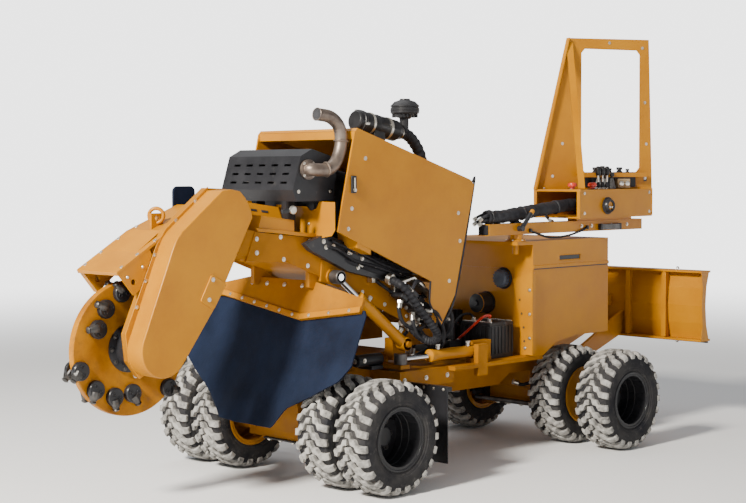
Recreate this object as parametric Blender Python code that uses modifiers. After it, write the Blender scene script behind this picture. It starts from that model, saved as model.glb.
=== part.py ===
"""Self-propelled stump grinder: one object for each sub-part, in metres, +Z up.

Everything is laid out from the front axle at x = 0; the last step moves it so that
x = 0 is the middle of the machine. +X runs from the cutter wheel to the blade.
"""
import bpy
import bmesh
from math import atan2, cos, pi, radians, sin, tan
from mathutils import Matrix, Vector

for old in list(bpy.data.objects):
    bpy.data.objects.remove(old, do_unlink=True)

# Driving dimensions.
TYRE_R = 0.292
TYRE_W = 0.225
RIM_R = 0.150
WHEELBASE = 1.895
FRONT_INNER_Y = 0.428
FRONT_OUTER_Y = 0.709
REAR_INNER_Y = 0.395
REAR_OUTER_Y = 0.749
KNUCKLE_Y = 0.24
CUTTER_R = 0.33
CUTTER_T = 0.04
CUTTER_X = -1.074
CUTTER_Z = 0.777
PULLEY_X = -0.660
PULLEY_Z = 1.416
SWING_X = 0.42
LIFT_X = 0.78
LIFT_Z = 0.80
HOOD_NEAR = -0.40
HOOD_FAR = 0.37
HOOD_TOP = 1.857
ENCLOSURE_HALF = 0.45
ENCLOSURE_TOP = 1.224
LID_SEAM = 1.06
ARM_X = WHEELBASE - 0.495
ARM_Y = -0.38
ARM_REACH = 1.19
BOX_LENGTH = 0.734
BOX_NEAR = -0.50
BOX_DEPTH = 0.35
BOX_H = 0.171
GUARD_TURN = radians(20)
CURTAIN_TILT = radians(24)
CURTAIN_HALF = 0.65
BLADE_HALF = 0.76
BLADE_H = 0.44
BLADE_REACH = 0.98
GAP = 0.0004
ROUND = 20
SMALL = 12

PARTS = bpy.data.collections.new("stump_grinder")
CUTTERS = bpy.data.collections.new("cutters")
bpy.context.scene.collection.children.link(PARTS)
bpy.context.scene.collection.children.link(CUTTERS)


def material(name, colour, roughness, metallic=0.0):
    made = bpy.data.materials.new(name)
    made.use_nodes = True
    shader = made.node_tree.nodes["Principled BSDF"]
    shader.inputs["Base Color"].default_value = (*colour, 1)
    shader.inputs["Roughness"].default_value = roughness
    shader.inputs["Metallic"].default_value = metallic
    return made


YELLOW = material("yellow_paint", (0.80, 0.42, 0.06), 0.4)
BLACK = material("black_paint", (0.02, 0.02, 0.022), 0.45)
RUBBER = material("rubber", (0.03, 0.03, 0.035), 0.85)
STEEL = material("dark_steel", (0.10, 0.10, 0.11), 0.5, 0.9)
CHROME = material("chrome", (0.75, 0.75, 0.76), 0.15, 1.0)
IRON = material("engine_iron", (0.05, 0.05, 0.055), 0.6, 0.4)
PLASTIC = material("black_plastic", (0.015, 0.015, 0.016), 0.35)
RED = material("red_plastic", (0.60, 0.04, 0.02), 0.35)


def new_object(name, mesh, look):
    made = bpy.data.objects.new(name, mesh)
    PARTS.objects.link(made)
    if look:
        made.data.materials.append(look)
    return made


def from_bmesh(name, shape, look=None):
    mesh = bpy.data.meshes.new(name)
    shape.to_mesh(mesh)
    shape.free()
    return new_object(name, mesh, look)


def box(low, high, name="box", look=None):
    """A box between two corners."""
    shape = bmesh.new()
    bmesh.ops.create_cube(shape, size=1.0)
    low, high = Vector(low), Vector(high)
    bmesh.ops.scale(shape, vec=high - low, verts=shape.verts)
    bmesh.ops.translate(shape, vec=(low + high) / 2, verts=shape.verts)
    return from_bmesh(name, shape, look)


def rod(start, end, radius, name="rod", look=None, sides=SMALL, end_radius=None):
    """A cylinder or cone from one point to another."""
    start, end = Vector(start), Vector(end)
    way = end - start
    shape = bmesh.new()
    bmesh.ops.create_cone(shape, cap_ends=True, segments=sides, radius1=radius,
                          radius2=radius if end_radius is None else end_radius, depth=way.length)
    turn = way.to_track_quat("Z", "Y").to_matrix().to_4x4()
    bmesh.ops.transform(shape, matrix=Matrix.Translation((start + end) / 2) @ turn, verts=shape.verts)
    for face in shape.faces:
        face.smooth = len(face.verts) == 4
    return from_bmesh(name, shape, look)


def plate(outline, half, name="plate", look=None, holes=()):
    """A flat outline in its own XY plane with round or cornered holes, half as thick each way."""
    curve = bpy.data.curves.new(name, "CURVE")
    curve.dimensions = "2D"
    curve.fill_mode = "BOTH"
    curve.extrude = half
    curve.resolution_u = 1
    for line in (outline, *holes):
        spline = curve.splines.new("POLY")
        spline.points.add(len(line) - 1)
        for point, (x, y) in zip(spline.points, line):
            point.co = (x, y, 0, 1)
        spline.use_cyclic_u = True
    drawn = bpy.data.objects.new(name, curve)
    PARTS.objects.link(drawn)
    return as_mesh(drawn, name, look)


def as_mesh(drawn, name, look):
    """A curve made a mesh, with its points welded and its faces turned outwards."""
    bpy.context.view_layer.update()
    graph = bpy.context.evaluated_depsgraph_get()
    mesh = bpy.data.meshes.new_from_object(drawn.evaluated_get(graph))
    matrix = drawn.matrix_world.copy()
    bpy.data.objects.remove(drawn, do_unlink=True)
    shape = bmesh.new()
    shape.from_mesh(mesh)
    bmesh.ops.remove_doubles(shape, verts=shape.verts, dist=0.00005)
    bmesh.ops.recalc_face_normals(shape, faces=shape.faces)
    shape.to_mesh(mesh)
    shape.free()
    mesh.name = name
    made = new_object(name, mesh, look)
    made.matrix_world = matrix
    return made


def move(obj, matrix):
    """Moves the mesh itself, so that the object's own place stays free."""
    obj.data.transform(matrix)
    if matrix.determinant() < 0:
        obj.data.flip_normals()
    return obj


def side(outline, near, far, name="side", look=None, holes=()):
    """An (x, z) outline running along Y from near to far."""
    made = plate(outline, (far - near) / 2, name, look, holes)
    stand = Matrix.Translation((0, (near + far) / 2, 0)) @ Matrix.Rotation(pi / 2, 4, "X")
    return move(made, stand)


def turned(profile, name, look, axis="Y", sides=ROUND):
    """A closed (radius, height) profile, down its outer side, turned round an axis."""
    mesh = bpy.data.meshes.new(name)
    closed = profile[0][0] > 0 or profile[-1][0] > 0
    count = len(profile)
    edges = [(i, (i + 1) % count) for i in range(count if closed else count - 1)]
    mesh.from_pydata([(r, 0, h) for r, h in profile], edges, [])
    made = new_object(name, mesh, look)
    screw = made.modifiers.new("turn", "SCREW")
    screw.steps = sides
    screw.render_steps = sides
    screw.use_merge_vertices = True
    screw.merge_threshold = 0.0001
    screw.use_smooth_shade = False
    bpy.context.view_layer.update()
    graph = bpy.context.evaluated_depsgraph_get()
    done = bpy.data.meshes.new_from_object(made.evaluated_get(graph))
    made.modifiers.clear()
    made.data = done
    shape = bmesh.new()
    shape.from_mesh(done)
    bmesh.ops.remove_doubles(shape, verts=shape.verts, dist=0.00005)
    bmesh.ops.recalc_face_normals(shape, faces=shape.faces)
    shape.to_mesh(done)
    shape.free()
    half_step = Matrix.Rotation(pi / sides, 4, "Z")
    lay = {"X": Matrix.Rotation(pi / 2, 4, "Y"), "Y": Matrix.Rotation(-pi / 2, 4, "X"), "Z": Matrix()}
    return move(made, lay[axis] @ half_step)


def tube(points, radius, name, look, sides=2):
    """A round bar or hose along a smooth line through its points, with closed ends."""
    curve = bpy.data.curves.new(name, "CURVE")
    curve.dimensions = "3D"
    curve.bevel_depth = radius
    curve.bevel_resolution = sides
    curve.use_fill_caps = True
    curve.resolution_u = 3
    spline = curve.splines.new("BEZIER")
    spline.bezier_points.add(len(points) - 1)
    for knot, co in zip(spline.bezier_points, points):
        knot.co = co
        knot.handle_left_type = "AUTO"
        knot.handle_right_type = "AUTO"
    drawn = bpy.data.objects.new(name, curve)
    PARTS.objects.link(drawn)
    return as_mesh(drawn, name, look)


def combine(base, others, operation):
    """Booleans one piece with others, which move to the cutters' collection."""
    for other in others:
        PARTS.objects.unlink(other)
        CUTTERS.objects.link(other)
        other.hide_render = True
        other.display_type = "WIRE"
        change = base.modifiers.new(operation.lower(), "BOOLEAN")
        change.operation = operation
        change.solver = "EXACT"
        change.object = other
    return base


def union(base, *others):
    return combine(base, others, "UNION")


def cut(base, *others):
    return combine(base, others, "DIFFERENCE")


def pivot(obj, place):
    """Puts an object's origin on its joint's axis without moving its shape."""
    place = Vector(place)
    bpy.context.view_layer.update()
    graph = bpy.context.evaluated_depsgraph_get()
    done = bpy.data.meshes.new_from_object(obj.evaluated_get(graph))
    obj.modifiers.clear()
    obj.data = done
    obj.data.transform(Matrix.Translation(-place))
    obj.location = place
    return obj


def bore(radius, sides=SMALL):
    """The corner radius of a hole that a round piece of this radius turns in."""
    return radius / cos(pi / sides) + GAP


def inset(outline, wall):
    """An outline drawn in by a wall all round, or out where the wall is negative."""
    count = len(outline)
    area = sum(outline[i - 1][0] * outline[i][1] - outline[i][0] * outline[i - 1][1] for i in range(count))
    inward = 1 if area > 0 else -1
    drawn = []
    for i in range(count):
        here = Vector(outline[i])
        before = (here - Vector(outline[i - 1])).normalized()
        after = (Vector(outline[(i + 1) % count]) - here).normalized()
        first = Vector((-before.y, before.x)) * inward
        second = Vector((-after.y, after.x)) * inward
        drawn.append(tuple(here + (first + second) * wall / (1 + first.dot(second))))
    return drawn


# Wheels: a hollow tyre and a dished rim in each place, two to a corner.
BEAD_R = RIM_R + 0.001
RIM_HALF = 0.098
FLANGE_R = 0.166
DISH = 0.078


def tyre(name, x, y):
    reach = TYRE_R / cos(pi / ROUND)
    half = TYRE_W / 2
    bead = RIM_HALF - 0.0085
    belly = 0.4 * RIM_R + 0.6 * reach
    seat = FLANGE_R + 0.004
    profile = [(BEAD_R, bead), (seat, bead), (belly, half), (reach - 0.022, half), (reach, half - 0.024),
               (reach, 0.024 - half), (reach - 0.022, -half), (belly, -half), (seat, -bead), (BEAD_R, -bead),
               (BEAD_R, 0.02 - bead),
               (reach - 0.04, 0.03 - half), (reach - 0.04, half - 0.03), (BEAD_R, bead - 0.02)]
    made = turned(profile, name, RUBBER)
    made.location = (x, y, TYRE_R)


def rim(name, x, y, dish, hub_to, look):
    """The disc is at dish along the axle, and its hub reaches hub_to."""
    lip = RIM_HALF - 0.008
    inner = RIM_R - 0.008
    low, high = min(dish - 0.006, hub_to), max(dish + 0.006, hub_to)
    profile = [(0, high), (0.055, high), (0.055, dish + 0.006), (inner, dish + 0.006), (inner, RIM_HALF),
               (FLANGE_R, RIM_HALF), (FLANGE_R, lip), (RIM_R, lip), (RIM_R, -lip), (FLANGE_R, -lip),
               (FLANGE_R, -RIM_HALF), (inner, -RIM_HALF), (inner, dish - 0.006), (0.055, dish - 0.006),
               (0.055, low), (0, low)]
    tidy = []
    for point in profile:
        if not tidy or (Vector(point) - Vector(tidy[-1])).length > 1e-6:
            tidy.append(point)
    made = turned(tidy, name, look)
    made.location = (x, y, TYRE_R)


def wheel_pair(corner, x, sign, inner_y, outer_y):
    """The two discs meet at the joint plane between the wheels, or across a spacer."""
    meet = inner_y + DISH + 0.006
    tyre(f"tyre_{corner}_outer", x, sign * outer_y)
    tyre(f"tyre_{corner}_inner", x, sign * inner_y)
    rim(f"rim_{corner}_outer", x, sign * outer_y, -sign * DISH, sign * (meet + GAP - outer_y), BLACK)
    rim(f"rim_{corner}_inner", x, sign * inner_y, sign * DISH, sign * (meet - inner_y), YELLOW)


CORNERS = (("front_near", 0.0, -1, FRONT_INNER_Y, FRONT_OUTER_Y),
           ("front_far", 0.0, 1, FRONT_INNER_Y, FRONT_OUTER_Y),
           ("rear_near", WHEELBASE, -1, REAR_INNER_Y, REAR_OUTER_Y),
           ("rear_far", WHEELBASE, 1, REAR_INNER_Y, REAR_OUTER_Y))
for corner in CORNERS:
    wheel_pair(*corner)

# Chassis and axles.
RAIL_LOW = 0.46
RAIL_TOP = 0.553
FLOOR_TOP = 0.5535
FRONT_HUB = FRONT_INNER_Y + DISH - 0.006 - GAP
REAR_HUB = REAR_INNER_Y + DISH - 0.006 - GAP
AXLE_TOP = 0.30
XR = WHEELBASE
BLADE_PIVOT = (XR + 0.10, 0, 0.39)
BLADE_FOOT = (XR + 0.24, 0, 0.56)
BLADE_X = XR + BLADE_REACH - 0.10
BLADE_HEAD = (BLADE_X - 0.05, 0, 0.785)


def chassis():
    middle = side([(-0.12, 0.40), (0.40, 0.36), (XR - 0.40, 0.36), (XR - 0.30, 0.42), (XR + 0.16, 0.42),
                   (XR + 0.16, 0.50), (XR - 0.42, 0.50), (XR - 0.52, RAIL_TOP - 0.001),
                   (-0.12, RAIL_TOP - 0.001)],
                  -0.17, 0.17, "chassis_frame", YELLOW)
    deck = side([(0.414, RAIL_LOW), (0.845, RAIL_LOW), (0.845, RAIL_TOP), (0.414, RAIL_TOP)], -0.40, 0.40)
    floor = box((0.80, -0.45, 0.53), (XR - 0.33, 0.45, FLOOR_TOP))
    post = box((0.995, -0.449, 0.484), (1.076, -0.415, 0.66))
    ears = box((XR + 0.05, -0.10, 0.36), (XR + 0.15, 0.10, 0.46))
    lugs = [box((XR + 0.13, y, 0.44), (XR + 0.275, y + 0.012, 0.59)) for y in (-0.05, 0.038)]
    foot_pin = rod((BLADE_FOOT[0], -0.048, BLADE_FOOT[2]), (BLADE_FOOT[0], 0.048, BLADE_FOOT[2]), 0.012)
    clevis = [box((SWING_EYE[0] - 0.04, -0.40, z), (SWING_EYE[0] + 0.12, SWING_EYE[1] + 0.028, z + 0.02))
              for z in (0.54, SWING_Z - 0.06, SWING_Z + 0.036)]
    back = box((SWING_EYE[0] + 0.09, -0.398, 0.545),
               (SWING_EYE[0] + 0.119, SWING_EYE[1] + 0.026, SWING_Z + 0.05))
    pin = rod((*SWING_EYE, SWING_Z - 0.05), (*SWING_EYE, SWING_Z + 0.045), 0.012)
    made = union(middle, deck, floor, post, ears, *lugs, foot_pin, *clevis, back, pin, front_axle(),
                 *rear_axle())
    hollow = box((0.50, -0.15, 0.30), (1.30, 0.15, RAIL_TOP - 0.06))
    slot = box((XR + 0.04, -0.072, 0.35), (XR + 0.20, 0.072, 0.4195))
    hole = rod((BLADE_PIVOT[0], -0.2, BLADE_PIVOT[2]), (BLADE_PIVOT[0], 0.2, BLADE_PIVOT[2]), bore(0.0145))
    return cut(made, hollow, slot, hole)


def front_axle():
    beam = box((-0.05, -0.30, 0.20), (0.05, 0.30, AXLE_TOP))
    stand = box((-0.09, -0.14, 0.25), (0.09, 0.14, 0.42))
    motors = [rod((0, s * 0.24, TYRE_R), (0, s * FRONT_HUB, TYRE_R), 0.075) for s in (-1, 1)]
    return union(beam, stand, *motors)


def rear_axle():
    beam = box((XR - 0.05, -0.20, 0.20), (XR + 0.045, 0.20, AXLE_TOP))
    stand = box((XR - 0.045, -0.12, 0.25), (XR + 0.04, 0.12, 0.44))
    forks = [box((XR - 0.04, s * 0.23 - 0.04, z), (XR + 0.04, s * 0.23 + 0.04, z + 0.03))
             for s in (-1, 1) for z in (0.17, 0.385)]
    webs = [box((XR - 0.038, s * 0.195 - 0.012, 0.172), (XR + 0.038, s * 0.195 + 0.012, 0.413))
            for s in (-1, 1)]
    return beam, stand, *webs, *forks


def knuckle(name, sign):
    post = rod((XR, sign * KNUCKLE_Y, 0.2005), (XR, sign * KNUCKLE_Y, 0.3845), 0.03, name, STEEL)
    motor = rod((XR, sign * (KNUCKLE_Y - 0.02), TYRE_R), (XR, sign * REAR_HUB, TYRE_R), 0.07)
    arm = box((XR - 0.16, sign * KNUCKLE_Y - 0.015, 0.235), (XR, sign * KNUCKLE_Y + 0.015, 0.265))
    return pivot(union(post, motor, arm), (XR, sign * KNUCKLE_Y, TYRE_R))


rod((XR - 0.135, -0.245, 0.22), (XR - 0.135, 0.245, 0.22), 0.0145, "tie_rod", STEEL)

# Turret: turns on the deck and carries the boom's foot, the lift eye and the swing ear.
TURRET_Z = RAIL_TOP + GAP
LIFT_EYE = (0.549, -0.30, 0.689)
LIFT_TOP = (0.05, -0.30, 1.08)
SWING_EAR = (0.46, -0.36)
SWING_EYE = (1.04, -0.38)
SWING_Z = 0.618
EAR_TOP = SWING_Z - 0.03
CYLINDER_R = 0.031


def turret():
    base = rod((SWING_X, 0, TURRET_Z), (SWING_X, 0, 0.60), 0.22, "turret", YELLOW, ROUND)
    body = box((0.30, -0.18, 0.59), (0.64, 0.18, 0.64))
    cheeks = [side([(0.48, 0.60), (0.62, 0.60), (0.65, 0.665), (0.86, 0.665), (0.86, 0.83), (0.80, 0.87),
                    (0.75, 0.87)],
                   s * 0.20 - 0.025, s * 0.20 + 0.025) for s in (-1, 1)]
    pin = rod((LIFT_X, -0.30, LIFT_Z), (LIFT_X, 0.30, LIFT_Z), 0.03)
    lug = box((0.50, -0.262, 0.60), (0.60, -0.20, 0.72))
    eye_pin = rod((LIFT_EYE[0], -0.345, LIFT_EYE[2]), (LIFT_EYE[0], -0.23, LIFT_EYE[2]), 0.016)
    ear = box((SWING_EAR[0] - 0.035, -0.395, EAR_TOP - 0.022), (SWING_EAR[0] + 0.035, -0.19, EAR_TOP - GAP))
    return pivot(union(base, body, *cheeks, pin, lug, eye_pin, ear), (SWING_X, 0, TURRET_Z))


def cylinder(name, foot, head, eye_axis, barrel_share, eye_half, pin, rod_from):
    """A hydraulic cylinder: a hollow barrel with an eye at its foot, and a rod with an eye at its head."""
    foot, head = Vector(foot), Vector(head)
    way = (head - foot).normalized()
    reach = (head - foot).length
    across = Vector(eye_axis) * eye_half
    gland = foot + way * reach * barrel_share
    barrel = rod(foot + way * (pin + 0.008), gland, CYLINDER_R, name + "_barrel", YELLOW)
    barrel = union(barrel, rod(foot - across, foot + across, pin + 0.018))
    barrel = cut(barrel, rod(foot - across * 1.5, foot + across * 1.5, bore(pin)),
                 rod(foot + way * 0.08, gland + way * 0.02, 0.0165))
    pivot(barrel, foot)
    moving = rod(foot + way * rod_from, head, 0.0155, name + "_rod", CHROME)
    moving = union(moving, rod(head - across, head + across, pin + 0.014))
    return pivot(moving, head)


turret()
cylinder("lift_cylinder", LIFT_EYE, LIFT_TOP, (0, 1, 0), 0.70, 0.030, 0.016, 0.17)
cylinder("swing_cylinder", (*SWING_EYE, SWING_Z), (*SWING_EAR, SWING_Z), (0, 0, 1), 0.62, 0.0298, 0.012, 0.21)
chassis()
knuckle("knuckle_near", -1)
knuckle("knuckle_far", 1)

# Boom: two side plates, a deck between them and a nose that carries the cutter's drive.
PLATE_OUT = 0.25
PLATE_IN = 0.235
NOSE_HALF = 0.13
HOUSE_HALF = 0.165


BELT_OUT = [(-0.706, 1.541), (-0.956, 1.347), (-1.006, 1.274), (-1.190, 0.863), (-1.175, 0.735),
            (-1.120, 0.664), (-0.955, 0.690), (-0.755, 0.975), (-0.514, 1.404), (-0.593, 1.536)]


def boom():
    outline = [(-0.53, 1.185), (-0.25, 1.168), (-0.04, 1.09), (0.74, 0.745), (0.82, 0.745), (0.85, 0.80),
               (0.84, 0.86), (0.80, 0.93), (0.0, 1.28), (-0.47, 1.33)]
    near = side(outline, -PLATE_OUT, -PLATE_IN, "boom_frame", YELLOW)
    far = side(outline, PLATE_IN, PLATE_OUT)
    deck = side([(-0.60, 1.20), (-0.25, 1.18), (-0.03, 1.105), (0.46, 0.888), (0.46, 0.918),
                 (-0.02, 1.133), (-0.25, 1.21), (-0.60, 1.23)], -0.24, 0.24)
    nose = side([(-0.95, 1.19), (-0.80, 1.13), (-0.45, 1.19), (-0.45, 1.34), (-0.56, 1.40),
                 (-0.63, 1.4575), (-0.95, 1.3295)], -NOSE_HALF, NOSE_HALF)
    arm = side(inset(BELT_OUT, -0.012), -HOUSE_HALF, -0.125)
    brace = side([(-0.58, 1.22), (-0.40, 1.20), (-0.40, 1.32), (-0.54, 1.35)], -0.245, 0.245)
    boss = rod((LIFT_TOP[0], -PLATE_IN, LIFT_TOP[2]), (LIFT_TOP[0], -0.2695, LIFT_TOP[2]), 0.045)
    doubler = side([(-0.03, 1.06), (0.10, 1.02), (0.14, 1.08), (0.08, 1.17), (-0.02, 1.17)], -0.258, -0.24)
    made = union(near, far, deck, nose, arm, brace, boss, doubler)
    bores = [rod((LIFT_X, -0.4, LIFT_Z), (LIFT_X, 0.4, LIFT_Z), bore(0.03)),
             rod((CUTTER_X, -0.3, CUTTER_Z), (CUTTER_X, 0.3, CUTTER_Z), bore(0.03)),
             rod((PULLEY_X, -0.3, PULLEY_Z), (PULLEY_X, -0.06, PULLEY_Z), bore(0.025))]
    return pivot(cut(made, *bores), (LIFT_X, 0, LIFT_Z))


def pulley(name, x, z, radius, shaft, inner_end):
    wheel = rod((x, -0.262, z), (x, -0.195, z), radius, name, STEEL, ROUND)
    groove = cut(rod((x, -0.25, z), (x, -0.207, z), radius + 0.02, sides=ROUND),
                 rod((x, -0.27, z), (x, -0.19, z), radius - 0.02, sides=ROUND))
    shank = rod((x, -0.22, z), (x, inner_end, z), shaft)
    return pivot(union(cut(wheel, groove), shank), (x, 0, z))


def belt_cover():
    shell = side(BELT_OUT, -0.285, -HOUSE_HALF - GAP, "belt_cover", YELLOW)
    hollow = side(inset(BELT_OUT, 0.007), -0.275, -0.15)
    door = side([(-0.90, 1.20), (-0.80, 1.24), (-0.75, 1.13), (-0.85, 1.09)], -0.293, -0.28)
    return union(cut(shell, hollow), door)


def drive_belt():
    """One flat loop round both pulleys."""
    along = Vector((PULLEY_X - CUTTER_X, 0, PULLEY_Z - CUTTER_Z))
    turns = 12

    def loop(grow):
        low, high = 0.0732 + grow, 0.0832 + grow
        arc = [(-low * sin(pi * i / turns), low * cos(pi * i / turns)) for i in range(turns + 1)]
        other = [(along.length + high * sin(pi * i / turns), -high * cos(pi * i / turns))
                 for i in range(turns + 1)]
        return arc + other

    made = plate(loop(0.012), 0.018, "drive_belt", RUBBER, holes=[loop(0.0)])
    tilt = Matrix.Rotation(atan2(along.z, along.x), 4, "Z")
    lay = Matrix.Translation((CUTTER_X, -0.2285, CUTTER_Z)) @ Matrix.Rotation(pi / 2, 4, "X")
    return move(made, lay @ tilt)


def cutter_wheel():
    """The disc, its hub, and pockets with teeth in three groups of four on both faces."""
    y0, y1 = -CUTTER_T / 2, CUTTER_T / 2
    disc = rod((CUTTER_X, y0, CUTTER_Z), (CUTTER_X, y1, CUTTER_Z), CUTTER_R, "cutter_wheel", STEEL, 36)
    hub = rod((CUTTER_X, -0.1245, CUTTER_Z), (CUTTER_X, 0.07, CUTTER_Z), 0.088, sides=ROUND)
    teeth = []
    for group in range(3):
        for step, share in enumerate((0.97, 0.88, 0.79, 0.70)):
            angle = radians(196 + 120 * group + 25 * step)
            place = Matrix.Translation((CUTTER_X, 0, CUTTER_Z)) @ Matrix.Rotation(-angle, 4, "Y")
            reach = share * CUTTER_R
            block = box((reach - 0.04, -0.05, -0.035), (reach + 0.018, 0.05, 0.035))
            teeth.append(move(block, place))
    return pivot(union(disc, hub, *teeth), (CUTTER_X, 0, CUTTER_Z))


def housing():
    """A bent plate with two side plates, open below."""
    outer = [(-1.245, 1.151), (-1.13, 1.22), (-0.95, 1.33), (-0.64, 1.4545), (-0.64, 1.4665),
             (-0.954, 1.342), (-1.137, 1.231), (-1.25, 1.163)]
    top = side(outer, -HOUSE_HALF + 0.0005, HOUSE_HALF, "cutter_housing", YELLOW)
    wall = [(-1.245, 1.155), (-1.155, 1.047), (-1.06, 1.12), (-0.96, 1.16), (-0.96, 1.33), (-1.13, 1.225)]
    far = side([*wall[:4], (-0.70, 1.20), (-0.70, 1.436), (-0.95, 1.335), wall[5]],
               NOSE_HALF + GAP, HOUSE_HALF - 0.001)
    near = side([wall[0], wall[1], (-1.115, 1.075), (-1.045, 1.235), (-1.06, 1.268), wall[5]],
                0.0015 - HOUSE_HALF, 0.0115 - HOUSE_HALF)
    hole = rod((-1.155, -0.3, 1.11), (-1.155, 0.3, 1.11), 0.014)
    eye = side([(-0.93, 1.344), (-0.86, 1.372), (-0.86, 1.43), (-0.93, 1.43)], -0.008, 0.008)
    hook = rod((-0.895, -0.05, 1.405), (-0.895, 0.05, 1.405), 0.014)
    arm_space = side(inset(BELT_OUT, -0.014), -0.20, GAP - 0.125)
    return cut(union(top, far, near, eye), arm_space, hole, hook)


boom()
pulley("lower_pulley", CUTTER_X, CUTTER_Z, 0.092, 0.030, -0.125 - GAP)
pulley("upper_pulley", PULLEY_X, PULLEY_Z, 0.102, 0.025, -0.08)
belt_cover()
drive_belt()
cutter_wheel()
housing()
union(box((-0.66, 0.17, 1.38), (-0.52, 0.182, 1.56), "side_flap", RUBBER),
      box((-0.655, NOSE_HALF + GAP, 1.375), (-0.57, 0.175, 1.395)))

# Engine and hood on the boom.
def deck_top(x):
    """The height of the deck between the boom's side plates."""
    return 1.133 - (x + 0.02) * (1.133 - 0.918) / 0.48


def boom_top(x):
    """The height of the side plates' upper edge ahead of the hood."""
    return 1.28 - x * 0.05 / 0.47


def engine():
    block = side([(-0.02, 1.20), (0.40, 1.00), (0.62, 1.02), (0.62, 1.40), (0.50, 1.50), (0.10, 1.58),
                  (-0.02, 1.50)], -0.20, 0.20, "engine_block", IRON)
    feet = [side([(x, deck_top(x) + GAP), (x + 0.06, deck_top(x + 0.06) + GAP), (x + 0.06, 1.25), (x, 1.25)],
                 s * 0.15 - 0.03, s * 0.15 + 0.03) for s in (-1, 1) for x in (0.06, 0.32)]
    heads = [side([(0.08, 1.50), (0.46, 1.42), (0.46, 1.54), (0.10, 1.64)], min(s * 0.06, s * 0.17),
                  max(s * 0.06, s * 0.17)) for s in (-1, 1)]
    fan = rod((-0.05, 0, 1.36), (0.0, 0, 1.36), 0.13, sides=ROUND)
    shaft = rod((-0.02, 0, 1.36), (-0.40, 0, 1.362), 0.028)
    return union(block, *feet, *heads, fan, shaft)


def hood():
    t = 0.012
    outer = [(0.085, HOOD_TOP - 0.02), (0.105, HOOD_TOP), (0.985, 1.585), (1.014, 1.555), (0.854, 0.945),
             (0.742, 0.785), (0.654, 0.913), (0.66, 1.032), (-0.04, 1.322)]
    shell = side(outer, HOOD_NEAR, HOOD_FAR, "hood", YELLOW)
    inner = [(0.0, 1.90), (0.106 + t, HOOD_TOP - 0.004 - t), (0.985 - t, 1.585 - 1.4 * t),
             (1.014 - 1.4 * t, 1.555 - t), (0.854 - t, 0.945), (0.60, 0.60), (-0.30, 1.10), (-0.30, 1.90)]
    inner[0] = (0.05, HOOD_TOP - t)
    hollow = side(inner, HOOD_NEAR + t, HOOD_FAR - t)
    rear_gap = side([(0.60, 0.70), (1.2, 0.70), (0.90, 1.02), (0.60, 1.10)], HOOD_NEAR + t, HOOD_FAR - t)
    near_stay = side([(0.10, 1.235), (0.20, 1.195), (0.20, 1.30), (0.10, 1.34)], HOOD_NEAR + 0.002,
                     -PLATE_OUT - GAP)
    far_stay = side([(0.10, 1.235), (0.20, 1.195), (0.20, 1.30), (0.10, 1.34)], PLATE_OUT + GAP,
                    HOOD_FAR - 0.002)
    front_bar = box((0.085, HOOD_NEAR + 0.004, 1.80), (0.115, HOOD_FAR - 0.004, HOOD_TOP - 0.016))
    elbow_hole = rod((0.979, -0.05, 1.80), (0.93, -0.05, 1.45), 0.05)
    made = cut(shell, hollow, rear_gap)
    made = union(made, near_stay, far_stay, front_bar)
    return cut(made, elbow_hole)


def muffler():
    """The muffler stands on the nose, and its slotted guard covers its top and front."""
    can = rod((-0.13, -0.22, 1.60), (-0.13, 0.20, 1.60), 0.075, sides=ROUND)
    legs = [box((-0.16, y, 1.31), (-0.10, y + 0.04, 1.56)) for y in (-0.14, 0.10)]
    foot = side([(x, boom_top(x) + rise) for x, rise in ((-0.24, GAP), (-0.08, GAP), (-0.08, 0.02),
                                                         (-0.24, 0.02))], -PLATE_OUT, PLATE_OUT)
    return can, *legs, foot


def muffler_guard():
    shell = side([(-0.259, 1.539), (-0.203, 1.712), (-0.126, 1.749), (0.055, 1.70), (0.025, 1.48),
                  (-0.235, 1.48)], -0.30, 0.27, "muffler_guard", YELLOW)
    inner = side([(-0.226, 1.46), (-0.249, 1.541), (-0.194, 1.703), (-0.126, 1.737), (0.08, 1.682),
                  (0.05, 1.44)], -0.292, 0.262)
    slots = [move(box((-0.05, y, -0.006), (0.05, y + 0.05, 0.006)),
                  Matrix.Translation((-0.23, 0, 1.62 + z)) @ Matrix.Rotation(radians(20), 4, "Y"))
             for y in (-0.24, -0.14, -0.04, 0.06, 0.16) for z in (-0.05, 0.0, 0.05)]
    stays = [box((-0.234, y, boom_top(-0.234) + 0.0215), (-0.218, y + 0.03, 1.52)) for y in (-0.22, 0.19)]
    port = rod((-0.158, -0.35, 1.643), (-0.158, -0.25, 1.643), 0.046)
    return cut(union(cut(shell, inner, *slots), *stays), port)


def exhaust():
    path = [(-0.106, -0.335, 1.62), (-0.03, -0.345, 1.622), (0.05, -0.345, 1.66), (0.085, -0.345, 1.74),
            (0.095, -0.345, 1.82), (0.05, -0.345, 1.89), (-0.08, -0.345, 1.905)]
    path = [(x - 0.052, y, z + 0.02) for x, y, z in path]
    pipe = tube(path, 0.036, "exhaust_pipe", STEEL, 3)
    flange = rod((-0.155, -0.3005 - GAP, 1.64), (-0.155, -0.338, 1.64), 0.05)
    neck = rod((-0.155, -0.31, 1.64), (-0.155, -0.20, 1.64), 0.03)
    return union(pipe, flange, neck, *muffler())


def hood_z(x):
    """The height of the hood's sloping top."""
    return HOOD_TOP + (x - 0.105) * (1.585 - HOOD_TOP) / (0.985 - 0.105)


BOWL_Z = 1.928


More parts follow.
